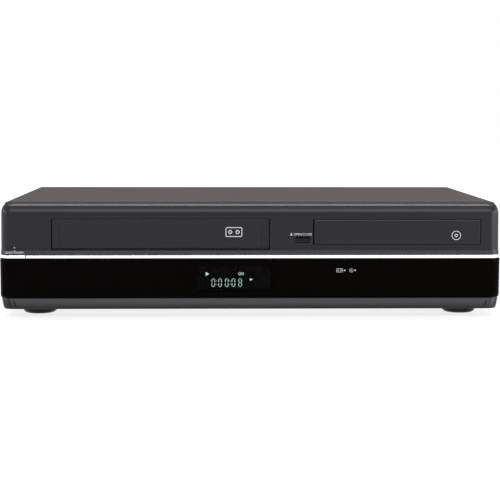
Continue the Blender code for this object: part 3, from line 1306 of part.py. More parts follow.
def disc_tray():
    """The sliding tray: recess, laser slot and a toothed rack under one side."""
    half = TRAY_WIDTH / 2
    rear_y = TRAY_FRONT_Y + TRAY_LENGTH
    origin = (TRAY_X, TRAY_FRONT_Y, TRAY_BOTTOM_Z)
    tray = box("disc_tray", (TRAY_X - half, TRAY_X + half), (TRAY_FRONT_Y, rear_y),
               (TRAY_BOTTOM_Z, TRAY_TOP_Z), origin, black_plastic())
    recess = rod("disc_recess", (TRAY_X, DISC_Y, TRAY_BOTTOM_Z + TRAY_FLOOR),
                 (TRAY_X, DISC_Y, TRAY_TOP_Z + OVERRUN), DISC_RECESS_RADIUS, BIG_SIDES)
    small = rod("small_disc_recess", (TRAY_X, DISC_Y, TRAY_BOTTOM_Z + TRAY_FLOOR - SMALL_DISC_DEPTH),
                (TRAY_X, DISC_Y, TRAY_TOP_Z), SMALL_DISC_RADIUS, BIG_SIDES)
    slot = box("laser_slot", (TRAY_X - TRAY_SLOT_WIDTH / 2, TRAY_X + TRAY_SLOT_WIDTH / 2),
               (DISC_Y - TRAY_SLOT_WIDTH / 2, rear_y + OVERRUN),
               (TRAY_BOTTOM_Z - OVERRUN, TRAY_TOP_Z + OVERRUN))
    places = rack_tooth_places()
    bar = box("rack_bar", (RACK_FACE_X, RACK_FACE_X + RACK_WIDTH),
              (places[0] - RACK_PITCH / 2, rear_y - BITE), (TRAY_BOTTOM_Z - RACK_DROP,
                                                            TRAY_BOTTOM_Z + BITE))

    def teeth(shape):
        for y in places:
            verts = add_box(shape, (RACK_FACE_X - 2 * GEAR_MODULE, RACK_FACE_X + BITE),
                            (y - RACK_PITCH / 4 - GEAR_MODULE / 4 + TOOTH_BACKLASH,
                             y + RACK_PITCH / 4 + GEAR_MODULE / 4 - TOOTH_BACKLASH),
                            (TRAY_BOTTOM_Z - RACK_DROP, TRAY_BOTTOM_Z - GAP))
            for vert in verts:
                if vert.co.x < RACK_FACE_X:
                    vert.co.y = y + (vert.co.y - y) / 3

    cut(tray, recess, small, slot)
    join(tray, bar, build("rack_teeth", teeth))
    front = box("tray_front", (TRAY_FRONT_LEFT, TRAY_FRONT_RIGHT), (FACE_Y, FACE_Y + TRAY_FRONT_THICKNESS),
                (TRAY_FRONT_BOTTOM_Z, TRAY_FRONT_TOP_Z), origin, charcoal())
    rim = front.modifiers.new("rim", "BEVEL")
    rim.width = TRAY_FRONT_GAP
    rim.segments = 1
    rim.limit_method = "ANGLE"
    hang_on(front, tray)


def gear_outline(teeth, module):
    """A gear outline with straight-sided teeth, as pairs going round."""
    pitch_radius = teeth * module / 2
    root = pitch_radius - TOOTH_ROOT_SHARE * module
    tip = pitch_radius + TOOTH_TIP_SHARE * module
    corners = (
        (root, -TOOTH_FOOT_SHARE),
        (tip, -TOOTH_CROWN_SHARE),
        (tip, TOOTH_CROWN_SHARE),
        (root, TOOTH_FOOT_SHARE),
    )
    points = []
    step = 2 * math.pi / teeth
    slack = TOOTH_BACKLASH / pitch_radius
    for number in range(teeth):
        middle = number * step
        for radius, share in corners:
            angle = middle + share * step - math.copysign(slack / 2, share)
            points.append((radius * math.cos(angle), radius * math.sin(angle)))
    return points


def tray_gear():
    """The upright gear that drives the rack."""
    x = RACK_FACE_X - GEAR_MODULE - GEAR_PITCH_RADIUS
    z = TRAY_BOTTOM_Z - RACK_DROP / 2
    gear = outline_block("tray_gear", gear_outline(GEAR_TEETH, GEAR_MODULE), "Z", GEAR_THICKNESS,
                         (x, GEAR_Y, z), pale_plastic())
    cut(gear, rod("gear_bore", (x, GEAR_Y, z - GEAR_THICKNESS), (x, GEAR_Y, z + GEAR_THICKNESS),
                  GEAR_BORE_RADIUS + PIN_GAP))


def drive_frame():
    """The tub that carries the tray: side walls, ledges, bridge, gear post and feet."""
    half = DRIVE_HALF_INSIDE + DRIVE_WALL
    rear_y = DRIVE_FRONT_Y + DRIVE_LENGTH
    frame = box("drive_frame", (TRAY_X - half, TRAY_X + half), (DRIVE_FRONT_Y, rear_y),
                (DRIVE_FLOOR_Z, DRIVE_WALL_TOP_Z), look=black_plastic())
    cut(frame, box("drive_inside", (TRAY_X - DRIVE_HALF_INSIDE, TRAY_X + DRIVE_HALF_INSIDE),
                   (DRIVE_FRONT_Y - OVERRUN, rear_y - DRIVE_WALL),
                   (DRIVE_FLOOR_TOP_Z, DRIVE_WALL_TOP_Z + OVERRUN)))
    opening_y = DRIVE_FRONT_Y + DRIVE_OPENING_FRONT
    cut(frame, box("drive_floor_opening",
                   (TRAY_X - DRIVE_OPENING_WIDTH / 2, TRAY_X + DRIVE_OPENING_WIDTH / 2),
                   (opening_y, opening_y + DRIVE_OPENING_LENGTH),
                   (DRIVE_FLOOR_Z - OVERRUN, DRIVE_FLOOR_TOP_Z + OVERRUN)))

    def ledges(shape):
        for side in (-1, 1):
            outer = TRAY_X + side * (DRIVE_HALF_INSIDE + BITE)
            inner = TRAY_X + side * (DRIVE_HALF_INSIDE - DRIVE_LEDGE_WIDTH)
            add_box(shape, sorted((outer, inner)), (DRIVE_FRONT_Y + GAP, rear_y - DRIVE_WALL - BITE),
                    (DRIVE_FLOOR_TOP_Z - BITE, TRAY_BOTTOM_Z - GAP))

    bridge_y = (DISC_Y - DRIVE_BRIDGE_LENGTH / 2, DISC_Y + DRIVE_BRIDGE_LENGTH / 2)
    bridge = box("drive_bridge", (TRAY_X - half + BITE, TRAY_X + half - BITE), bridge_y,
                 (DRIVE_WALL_TOP_Z - BITE, DRIVE_WALL_TOP_Z + DRIVE_BRIDGE_THICKNESS))
    clamp_hole = rod("clamp_hole", (TRAY_X, DISC_Y, DRIVE_WALL_TOP_Z - OVERRUN),
                     (TRAY_X, DISC_Y, DRIVE_WALL_TOP_Z + 2 * OVERRUN), CLAMP_NECK_RADIUS + GAP, ROUND_SIDES)

    def posts(shape):
        for side in (-1, 1):
            for y in (DRIVE_FRONT_Y + DRIVE_POST_INSET, rear_y - DRIVE_POST_INSET):
                x = TRAY_X + side * (half - DRIVE_POST_INSET)
                add_rod(shape, (x, y, PAN_TOP_Z + GAP), (x, y, DRIVE_FLOOR_Z + BITE), DRIVE_POST_RADIUS)

    def pivot_lugs(shape):
        for side in (-1, 1):
            inner = TRAY_X + side * (TRAVERSE_WIDTH / 2 + GAP)
            outer = TRAY_X + side * (DRIVE_OPENING_WIDTH / 2 + BITE)
            add_box(shape, sorted((inner, outer)),
                    (TRAVERSE_AXIS_Y - 2 * TRAVERSE_PIN_RADIUS, TRAVERSE_AXIS_Y + 2 * TRAVERSE_PIN_RADIUS),
                    (DRIVE_FLOOR_Z + BITE, TRAVERSE_TOP_Z + TRAVERSE_PIN_RADIUS))

    axis_z = (TRAVERSE_BOTTOM_Z + TRAVERSE_TOP_Z) / 2
    reach = TRAVERSE_WIDTH / 2 + TRAVERSE_PIN_LENGTH + OVERRUN
    pivot_holes = rod("pivot_holes", (TRAY_X - reach, TRAVERSE_AXIS_Y, axis_z),
                      (TRAY_X + reach, TRAVERSE_AXIS_Y, axis_z), TRAVERSE_PIN_RADIUS + PIN_GAP)
    gear_x = RACK_FACE_X - GEAR_MODULE - GEAR_PITCH_RADIUS
    gear_low = TRAY_BOTTOM_Z - RACK_DROP / 2 - GEAR_THICKNESS / 2
    gear_seat = rod("gear_seat", (gear_x, GEAR_Y, DRIVE_FLOOR_TOP_Z - BITE),
                    (gear_x, GEAR_Y, gear_low - GAP),
                    2 * GEAR_BORE_RADIUS)
    gear_post = rod("gear_post", (gear_x, GEAR_Y, DRIVE_FLOOR_TOP_Z - BITE),
                    (gear_x, GEAR_Y, gear_low + GEAR_THICKNESS), GEAR_BORE_RADIUS)
    join(frame, build("drive_ledges", ledges), bridge, build("drive_posts", posts),
         build("pivot_lugs", pivot_lugs), gear_seat, gear_post)
    cut(frame, clamp_hole, pivot_holes)
    return frame


def traverse():
    """The lifting plate with its spindle motor and the two rails of the sled."""
    axis_z = (TRAVERSE_BOTTOM_Z + TRAVERSE_TOP_Z) / 2
    origin = (TRAY_X, TRAVERSE_AXIS_Y, axis_z)
    half = TRAVERSE_WIDTH / 2
    rear_y = TRAVERSE_AXIS_Y + 2 * TRAVERSE_PIN_RADIUS
    plate = box("traverse_base", (TRAY_X - half, TRAY_X + half), (rear_y - TRAVERSE_LENGTH, rear_y),
                (TRAVERSE_BOTTOM_Z, TRAVERSE_TOP_Z), origin, zinc())
    window_y = (DISC_Y + SPINDLE_MOTOR_RADIUS + RAIL_RADIUS,
                DISC_Y + SPINDLE_MOTOR_RADIUS + RAIL_RADIUS + TRAVERSE_WINDOW_LENGTH)
    window = box("traverse_window",
                 (TRAY_X - TRAVERSE_WINDOW_WIDTH / 2, TRAY_X + TRAVERSE_WINDOW_WIDTH / 2), window_y,
                 (TRAVERSE_BOTTOM_Z - OVERRUN, TRAVERSE_TOP_Z + OVERRUN))

    def rails(shape):
        for side in (-1, 1):
            x = TRAY_X + side * RAIL_OFFSET
            add_rod(shape, (x, window_y[0] - BITE, axis_z), (x, window_y[1] + BITE, axis_z),
                    RAIL_RADIUS / 2)

    motor = rod("spindle_motor", (TRAY_X, DISC_Y, TRAVERSE_BOTTOM_Z - SPINDLE_MOTOR_HEIGHT),
                (TRAY_X, DISC_Y, TRAVERSE_TOP_Z - BITE / 2), SPINDLE_MOTOR_RADIUS, ROUND_SIDES)
    pins = rod("traverse_pins", (TRAY_X - half - TRAVERSE_PIN_LENGTH, TRAVERSE_AXIS_Y, axis_z),
               (TRAY_X + half + TRAVERSE_PIN_LENGTH, TRAVERSE_AXIS_Y, axis_z), TRAVERSE_PIN_RADIUS)
    bearing = rod("spindle_bearing", (TRAY_X, DISC_Y, TRAVERSE_BOTTOM_Z),
                  (TRAY_X, DISC_Y, TRAVERSE_TOP_Z + SLED_LENS_RADIUS), 3 * SPINDLE_RADIUS)
    bearing_bore = rod("bearing_bore", (TRAY_X, DISC_Y, TRAVERSE_BOTTOM_Z),
                       (TRAY_X, DISC_Y, TRAVERSE_TOP_Z + SLED_LENS_RADIUS + OVERRUN),
                       SPINDLE_RADIUS + PIN_GAP)
    cut(plate, window)
    join(plate, build("sled_rails", rails), motor, pins, bearing)
    cut(plate, bearing_bore)
    turntable = [
        (0.0, TURNTABLE_TOP_Z + HUB_HEIGHT),
        (HUB_RADIUS - HUB_HEIGHT, TURNTABLE_TOP_Z + HUB_HEIGHT),
        (HUB_RADIUS, TURNTABLE_TOP_Z),
        (TURNTABLE_RADIUS, TURNTABLE_TOP_Z),
        (TURNTABLE_RADIUS, TURNTABLE_TOP_Z - TURNTABLE_THICKNESS),
        (SPINDLE_RADIUS, TURNTABLE_TOP_Z - TURNTABLE_THICKNESS),
        (SPINDLE_RADIUS, TRAVERSE_BOTTOM_Z + GAP),
        (0.0, TRAVERSE_BOTTOM_Z + GAP),
    ]
    hang_on(turned("turntable", turntable, (TRAY_X, DISC_Y, 0.0), pale_plastic()), plate)
    hang_on(laser_sled(window_y, axis_z), plate)


def laser_sled(window_y, axis_z):
    """The sled on its two rails, with the lens on top."""
    low_y = window_y[0] + GAP
    middle_y = low_y + SLED_LENGTH / 2
    top_z = axis_z + 3 * RAIL_RADIUS
    origin = (TRAY_X, middle_y, axis_z)
    sled = box("laser_sled", (TRAY_X - SLED_WIDTH / 2, TRAY_X + SLED_WIDTH / 2),
               (low_y, low_y + SLED_LENGTH),
               (axis_z - 2 * RAIL_RADIUS, top_z), origin, black_plastic())

    def bores(shape):
        for side in (-1, 1):
            x = TRAY_X + side * RAIL_OFFSET
            add_rod(shape, (x, low_y - OVERRUN, axis_z), (x, low_y + SLED_LENGTH + OVERRUN, axis_z),
                    RAIL_RADIUS / 2 + PIN_GAP)

    lens = rod("sled_lens", (TRAY_X, middle_y, top_z - BITE), (TRAY_X, middle_y, top_z + SLED_LENS_RADIUS),
               SLED_LENS_RADIUS, ROUND_SIDES)
    join(sled, lens)
    return cut(sled, build("sled_bores", bores))


def disc_clamp():
    """The free-running clamp that hangs in the bridge."""
    seat = DRIVE_WALL_TOP_Z + DRIVE_BRIDGE_THICKNESS + GAP
    low = DRIVE_WALL_TOP_Z - BITE - GAP
    profile = [
        (0.0, seat + CLAMP_THICKNESS / 3),
        (CLAMP_FLANGE_RADIUS, seat + CLAMP_THICKNESS / 3),
        (CLAMP_FLANGE_RADIUS, seat),
        (CLAMP_NECK_RADIUS, seat),
        (CLAMP_NECK_RADIUS, low),
        (CLAMP_RADIUS, low),
        (CLAMP_RADIUS, low - CLAMP_THICKNESS),
        (0.0, low - CLAMP_THICKNESS),
    ]
    turned("disc_clamp", profile, (TRAY_X, DISC_Y, 0.0), pale_plastic())


# Tape deck
def deck_y(setback):
    """Y of a place measured back from the front plane."""
    return FRONT_Y + setback


def capstan_place():
    """(x, y) of the capstan."""
    return CAPSTAN_X, deck_y(CAPSTAN_SETBACK)


def spool_places():
    """(name, x, y) of the two tape spools."""
    y = deck_y(SPOOL_SETBACK)
    return [
        ("supply_spool", CASSETTE_X - SPOOL_SPACING / 2, y),
        ("takeup_spool", CASSETTE_X + SPOOL_SPACING / 2, y),
    ]


def pinch_places():
    """(x, y) of the pinch roller and of its arm's pivot."""
    x, y = capstan_place()
    roller_x = x + CAPSTAN_RADIUS + ROLLER_RADIUS + ROLLER_OPENING
    return (roller_x, y), (roller_x, y + PINCH_ARM_LENGTH)


def tape_deck_plate():
    """The deck sheet on its posts, with the holes for what turns in it."""
    y_span = (deck_y(DECK_FRONT_SETBACK), deck_y(DECK_FRONT_SETBACK + DECK_LENGTH))
    plate = box("tape_deck_plate", (DECK_LEFT, DECK_RIGHT), y_span, (DECK_Z, DECK_TOP_Z), look=zinc())
    through = (DECK_Z - OVERRUN, DECK_TOP_Z + OVERRUN)

    def posts(shape):
        for x in (DECK_LEFT + DECK_POST_INSET, DECK_RIGHT - DECK_POST_INSET):
            for y in (y_span[0] + DECK_POST_INSET, y_span[1] - DECK_POST_INSET):
                add_rod(shape, (x, y, PAN_TOP_Z + GAP), (x, y, DECK_Z + BITE), DECK_POST_RADIUS)

    def holes(shape):
        x, y = capstan_place()
        add_rod(shape, (x, y, through[0]), (x, y, through[1]), CAPSTAN_RADIUS + PIN_GAP, ROUND_SIDES)
        for _, spool_x, spool_y in spool_places():
            add_rod(shape, (spool_x, spool_y, through[0]), (spool_x, spool_y, through[1]),
                    SPOOL_STUB_RADIUS + PIN_GAP, FEW_SIDES)

    _, pivot = pinch_places()
    pivot_pin = rod("pinch_pivot", (*pivot, DECK_TOP_Z - BITE),
                    (*pivot, DECK_TOP_Z + PINCH_ARM_LIFT + 2 * PINCH_ARM_THICKNESS), PINCH_PIVOT_RADIUS)
    pivot_seat = rod("pinch_seat", (*pivot, DECK_TOP_Z - BITE), (*pivot, DECK_TOP_Z + PINCH_ARM_LIFT - GAP),
                     2 * PINCH_PIVOT_RADIUS)
    join(plate, build("deck_posts", posts), pivot_seat, pivot_pin)
    cut(plate, build("deck_holes", holes))


def carriage():
    """Two fixed brackets, the sliding frame between them and the cassette cradle."""
    inner = CASSETTE_WIDTH / 2 + CASSETTE_CLEARANCE
    cradle_outer = inner + CRADLE_SHEET
    slider_inner = cradle_outer + SLIDER_SIDE_GAP
    slider_outer = slider_inner + SLIDER_SHEET
    bracket_inner = slider_outer + SLIDER_SIDE_GAP
    bracket_outer = bracket_inner + BRACKET_SHEET
    front = deck_y(CRADLE_FRONT_SETBACK)
    slider_y = (front, front + SLIDER_LENGTH)
    pin_y = (slider_y[0] + SLIDER_BAR_LENGTH, slider_y[1] - SLIDER_BAR_LENGTH)
    slot_z = (SLIDER_PIN_Z - CRADLE_PIN_RADIUS - PIN_GAP, SLIDER_PIN_Z + CRADLE_PIN_RADIUS + PIN_GAP)
    for side, word in ((-1, "left"), (1, "right")):
        x_span = sorted((CASSETTE_X + side * bracket_inner, CASSETTE_X + side * bracket_outer))
        bracket_y = (front - BRACKET_FOOT, front - BRACKET_FOOT + BRACKET_LENGTH)
        bracket = box("carriage_bracket_" + word, x_span, bracket_y, (DECK_TOP_Z + GAP, BRACKET_TOP_Z),
                      look=zinc())
        foot = box("bracket_foot_" + word,
                   sorted((CASSETTE_X + side * (bracket_outer - BITE),
                           CASSETTE_X + side * (bracket_outer + BRACKET_SHEET))),
                   (bracket_y[0] + BRACKET_FOOT, bracket_y[1] - BRACKET_FOOT),
                   (DECK_TOP_Z + GAP, DECK_TOP_Z + GAP + BRACKET_SHEET))

        def slots(shape, x_span=x_span):
            add_box(shape, (x_span[0] - OVERRUN, x_span[1] + OVERRUN),
                    (pin_y[0] - CRADLE_PIN_RADIUS - PIN_GAP,
                     pin_y[1] + SLIDER_TRAVEL + CRADLE_PIN_RADIUS + PIN_GAP), slot_z)

        join(bracket, foot)
        cut(bracket, build("bracket_slots_" + word, slots))
    origin = (CASSETTE_X, slider_y[0], SLIDER_PIN_Z)
    bar = (slider_y[1] - SLIDER_BAR_LENGTH, slider_y[1])
    slider = box("carriage_slider", (CASSETTE_X - slider_outer, CASSETTE_X + slider_outer), bar,
                 (SLIDER_TOP_Z - SLIDER_SHEET, SLIDER_TOP_Z), origin, zinc())

    def cheeks(shape):
        for side in (-1, 1):
            add_box(shape, sorted((CASSETTE_X + side * slider_inner, CASSETTE_X + side * slider_outer)),
                    slider_y,
                    (SLIDER_BOTTOM_Z, SLIDER_TOP_Z - SLIDER_SHEET / 3))

    def slider_pins(shape):
        for side in (-1, 1):
            for y in pin_y:
                add_rod(shape, (CASSETTE_X + side * (slider_outer - BITE), y, SLIDER_PIN_Z),
                        (CASSETTE_X + side * (bracket_outer - GAP), y, SLIDER_PIN_Z), CRADLE_PIN_RADIUS)

    cradle_pin_y = (slider_y[0] + 2 * SLIDER_BAR_LENGTH, slider_y[1] - 2 * SLIDER_BAR_LENGTH)
    cradle_pin_z = CASSETTE_BOTTOM_Z + CASSETTE_HEIGHT / 2

    def lift_slots(shape):
        for side in (-1, 1):
            x_span = sorted((CASSETTE_X + side * (slider_inner - BITE),
                             CASSETTE_X + side * (slider_outer + BITE)))
            for y in cradle_pin_y:
                add_box(shape, x_span, (y - CRADLE_PIN_RADIUS - PIN_GAP, y + CRADLE_PIN_RADIUS + PIN_GAP),
                        (cradle_pin_z - CRADLE_DROP - CRADLE_PIN_RADIUS - PIN_GAP,
                         cradle_pin_z + CRADLE_PIN_RADIUS + PIN_GAP))

    join(slider, build("slider_cheeks", cheeks), build("slider_pins", slider_pins))
    cut(slider, build("lift_slots", lift_slots))
    hang_on(cassette_cradle(inner, cradle_outer, slider_outer, cradle_pin_y, cradle_pin_z), slider)


def cassette_cradle(inner, outer, slider_outer, pin_y, pin_z):
    """The open cage that grips a cassette by its edges."""
    front = deck_y(CRADLE_FRONT_SETBACK)
    y_span = (front, front + CRADLE_LENGTH)
    floor_z = CASSETTE_BOTTOM_Z - GAP
    origin = (CASSETTE_X, y_span[0], floor_z)
    cradle = box("cassette_cradle", (CASSETTE_X - outer, CASSETTE_X + outer), y_span,
                 (floor_z - CRADLE_SHEET, CRADLE_TOP_Z), origin, zinc())
    cut(cradle,
        box("cradle_inside", (CASSETTE_X - inner, CASSETTE_X + inner),
            (y_span[0] - OVERRUN, y_span[1] + OVERRUN),
            (floor_z, CRADLE_TOP_Z - CRADLE_SHEET)),
        box("cradle_floor_opening", (CASSETTE_X - inner + CRADLE_LIP, CASSETTE_X + inner - CRADLE_LIP),
            (y_span[0] - OVERRUN, y_span[1] + OVERRUN), (floor_z - CRADLE_SHEET - OVERRUN, floor_z + BITE)))

    def pins(shape):
        for side in (-1, 1):
            for y in pin_y:
                add_rod(shape, (CASSETTE_X + side * (outer - BITE), y, pin_z),
                        (CASSETTE_X + side * (slider_outer - GAP), y, pin_z), CRADLE_PIN_RADIUS)

    return join(cradle, build("cradle_pins", pins))


def drum():
    """The tilted lower drum on its foot and the head drum that spins on it."""
    tilt = math.radians(DRUM_TILT_DEG)
    x = CASSETTE_X
    y = deck_y(DRUM_CENTRE_SETBACK)
    rise = math.sin(tilt) * DRUM_RADIUS
    origin = (x, y, DECK_TOP_Z + DRUM_FOOT_HEIGHT + rise / 2)
    lower = [
        (0.0, LOWER_DRUM_HEIGHT + DRUM_SHAFT_RADIUS),
        (DRUM_SHAFT_RADIUS, LOWER_DRUM_HEIGHT + DRUM_SHAFT_RADIUS),
        (DRUM_SHAFT_RADIUS, LOWER_DRUM_HEIGHT),
        (DRUM_RADIUS, LOWER_DRUM_HEIGHT),
        (DRUM_RADIUS, 0.0),
        (0.0, 0.0),
    ]
    base = turned("lower_drum", lower, origin, steel(), BIG_SIDES, (tilt, 0.0, 0.0))
    foot = rod("drum_foot", (x, y, DECK_TOP_Z + GAP), (x, y, origin[2] + DRUM_FOOT_HEIGHT),
               DRUM_FOOT_RADIUS,
               ROUND_SIDES)
    join(base, foot)
    low = LOWER_DRUM_HEIGHT + GAP
    head = [
        (DRUM_RADIUS, low + HEAD_DRUM_HEIGHT),
        (DRUM_RADIUS, low),
        (DRUM_SHAFT_RADIUS + PIN_GAP, low),
        (DRUM_SHAFT_RADIUS + PIN_GAP, low + HEAD_DRUM_HEIGHT),
    ]
    turned("head_drum", head, origin, steel(), BIG_SIDES, (tilt, 0.0, 0.0))


def spools():
    """The two tape spools on the deck."""
    for name, x, y in spool_places():
        low = DECK_TOP_Z + GAP
        profile = [
            (0.0, low + SPOOL_HEIGHT),
            (SPOOL_HUB_RADIUS - BITE, low + SPOOL_HEIGHT),
            (SPOOL_HUB_RADIUS, low + SPOOL_HEIGHT / 4),
            (SPOOL_RADIUS, low + SPOOL_HEIGHT / 4),
            (SPOOL_RADIUS, low),
            (SPOOL_STUB_RADIUS, low),
            (SPOOL_STUB_RADIUS, DECK_Z - DECK_SHEET),
            (0.0, DECK_Z - DECK_SHEET),
        ]
        turned(name, profile, (x, y, 0.0), pale_plastic())


def capstan_group():
    """Capstan with flywheel, its motor, and the pinch arm and roller."""
    x, y = capstan_place()
    wheel_top = DECK_Z - FLYWHEEL_DROP
    wheel_low = wheel_top - FLYWHEEL_THICKNESS
    motor_top = wheel_low - GAP
    profile = [
        (0.0, DECK_TOP_Z + CAPSTAN_HEIGHT),
        (CAPSTAN_RADIUS, DECK_TOP_Z + CAPSTAN_HEIGHT),
        (CAPSTAN_RADIUS, wheel_top),
        (FLYWHEEL_RADIUS, wheel_top),
        (FLYWHEEL_RADIUS, wheel_low),
        (CAPSTAN_RADIUS, wheel_low),
        (CAPSTAN_RADIUS, PAN_TOP_Z + 3 * GAP),
        (0.0, PAN_TOP_Z + 3 * GAP),
    ]
    turned("capstan", profile, (x, y, 0.0), steel())
    motor = [
        (CAPSTAN_MOTOR_RADIUS, motor_top),
        (CAPSTAN_MOTOR_RADIUS, PAN_TOP_Z + GAP),
        (CAPSTAN_RADIUS + PIN_GAP, PAN_TOP_Z + GAP),
        (CAPSTAN_RADIUS + PIN_GAP, motor_top),
    ]
    turned("capstan_motor", motor, (x, y, 0.0), black_plastic())
    roller, pivot = pinch_places()
    arm_low = DECK_TOP_Z + PINCH_ARM_LIFT
    arm_top = arm_low + PINCH_ARM_THICKNESS
    half = 2 * PINCH_PIVOT_RADIUS
    arm = box("pinch_arm", (pivot[0] - half, pivot[0] + half), (roller[1], pivot[1]), (arm_low, arm_top),
              (*pivot, arm_low), zinc())

    def ends(shape):
        for place_xy in (roller, pivot):
            add_rod(shape, (*place_xy, arm_low), (*place_xy, arm_top), half * PINCH_END_SHARE, ROUND_SIDES)

    pin = rod("roller_pin", (*roller, arm_top - BITE), (*roller, arm_top + GAP + ROLLER_HEIGHT),
              PINCH_PIVOT_RADIUS)
    bore = rod("pinch_bore", (*pivot, arm_low - OVERRUN), (*pivot, arm_top + OVERRUN),
               PINCH_PIVOT_RADIUS + PIN_GAP)
    join(arm, build("pinch_ends", ends), pin)
    cut(arm, bore)
    tyre = [
        (ROLLER_RADIUS, arm_top + GAP + ROLLER_HEIGHT),
        (ROLLER_RADIUS, arm_top + GAP),
        (PINCH_PIVOT_RADIUS + PIN_GAP, arm_top + GAP),
        (PINCH_PIVOT_RADIUS + PIN_GAP, arm_top + GAP + ROLLER_HEIGHT),
    ]
    hang_on(turned("pinch_roller", tyre, (*roller, 0.0), rubber()), arm)


# Boards, fan and sockets
def board(name, x_span, parts):
    """A board on posts, joined with the parts that stand on it."""
    made = box(name, x_span, (BOARD_FRONT_Y, BOARD_REAR_Y), (BOARD_Z, BOARD_TOP_Z), look=board_green())

    def posts(shape):
        for x in (x_span[0] + 2 * BOARD_POST_RADIUS, x_span[1] - 2 * BOARD_POST_RADIUS):
            for y in (BOARD_FRONT_Y + 2 * BOARD_POST_RADIUS, BOARD_REAR_Y - 5 * BOARD_POST_RADIUS):
                add_rod(shape, (x, y, PAN_TOP_Z + GAP), (x, y, BOARD_Z + BITE), BOARD_POST_RADIUS)

    join(made, build(name + "_posts", posts), *parts)
    half = DRIVE_HALF_INSIDE + DRIVE_WALL - DRIVE_POST_INSET
    rear_y = DRIVE_FRONT_Y + DRIVE_LENGTH - DRIVE_POST_INSET

    def post_holes(shape):
        for side in (-1, 1):
            x = TRAY_X + side * half
            add_rod(shape, (x, rear_y, PAN_TOP_Z), (x, rear_y, BOARD_TOP_Z + OVERRUN),
                    DRIVE_POST_RADIUS + GAP)

    cut(made, build(name + "_post_holes", post_holes))
    return made


def boards():
    """Main board with shield and heat sink, power board with transformer and capacitors."""
    low = BOARD_TOP_Z - BITE
    centre = sum(MAIN_BOARD_X) / 2
    can_y = BOARD_FRONT_Y + SHIELD_CAN_SIZE[1]
    shield = box("shield_can", (centre - SHIELD_CAN_SIZE[0] / 2, centre + SHIELD_CAN_SIZE[0] / 2),
                 (can_y - SHIELD_CAN_SIZE[1] / 2, can_y + SHIELD_CAN_SIZE[1] / 2),
                 (low, BOARD_TOP_Z + SHIELD_CAN_SIZE[2]))

    def fins(shape):
        y = can_y + SHIELD_CAN_SIZE[1]
        for number in range(HEATSINK_FIN_COUNT):
            x = centre + (number - (HEATSINK_FIN_COUNT - 1) / 2) * HEATSINK_PITCH
            add_box(shape, (x - HEATSINK_FIN / 2, x + HEATSINK_FIN / 2),
                    (y - HEATSINK_LENGTH / 2, y + HEATSINK_LENGTH / 2),
                    (low, BOARD_TOP_Z + HEATSINK_HEIGHT))

    board("main_board", MAIN_BOARD_X, [shield, build("heat_sink", fins)])
    centre = sum(POWER_BOARD_X) / 2
    coil_y = BOARD_FRONT_Y + TRANSFORMER_SIZE[1]
    transformer = box("transformer", (centre - TRANSFORMER_SIZE[0] / 2, centre + TRANSFORMER_SIZE[0] / 2),
                      (coil_y - TRANSFORMER_SIZE[1] / 2, coil_y + TRANSFORMER_SIZE[1] / 2),
                      (low, BOARD_TOP_Z + TRANSFORMER_SIZE[2]))

    def capacitors(shape):
        for number in range(CAPACITOR_COUNT):
            x = centre + (number - (CAPACITOR_COUNT - 1) / 2) * CAPACITOR_PITCH
            y = coil_y + TRANSFORMER_SIZE[1] + CAPACITOR_RADIUS
            add_rod(shape, (x, y, low), (x, y, BOARD_TOP_Z + CAPACITOR_HEIGHT), CAPACITOR_RADIUS)

    board("power_board", POWER_BOARD_X, [transformer, build("capacitors", capacitors)])


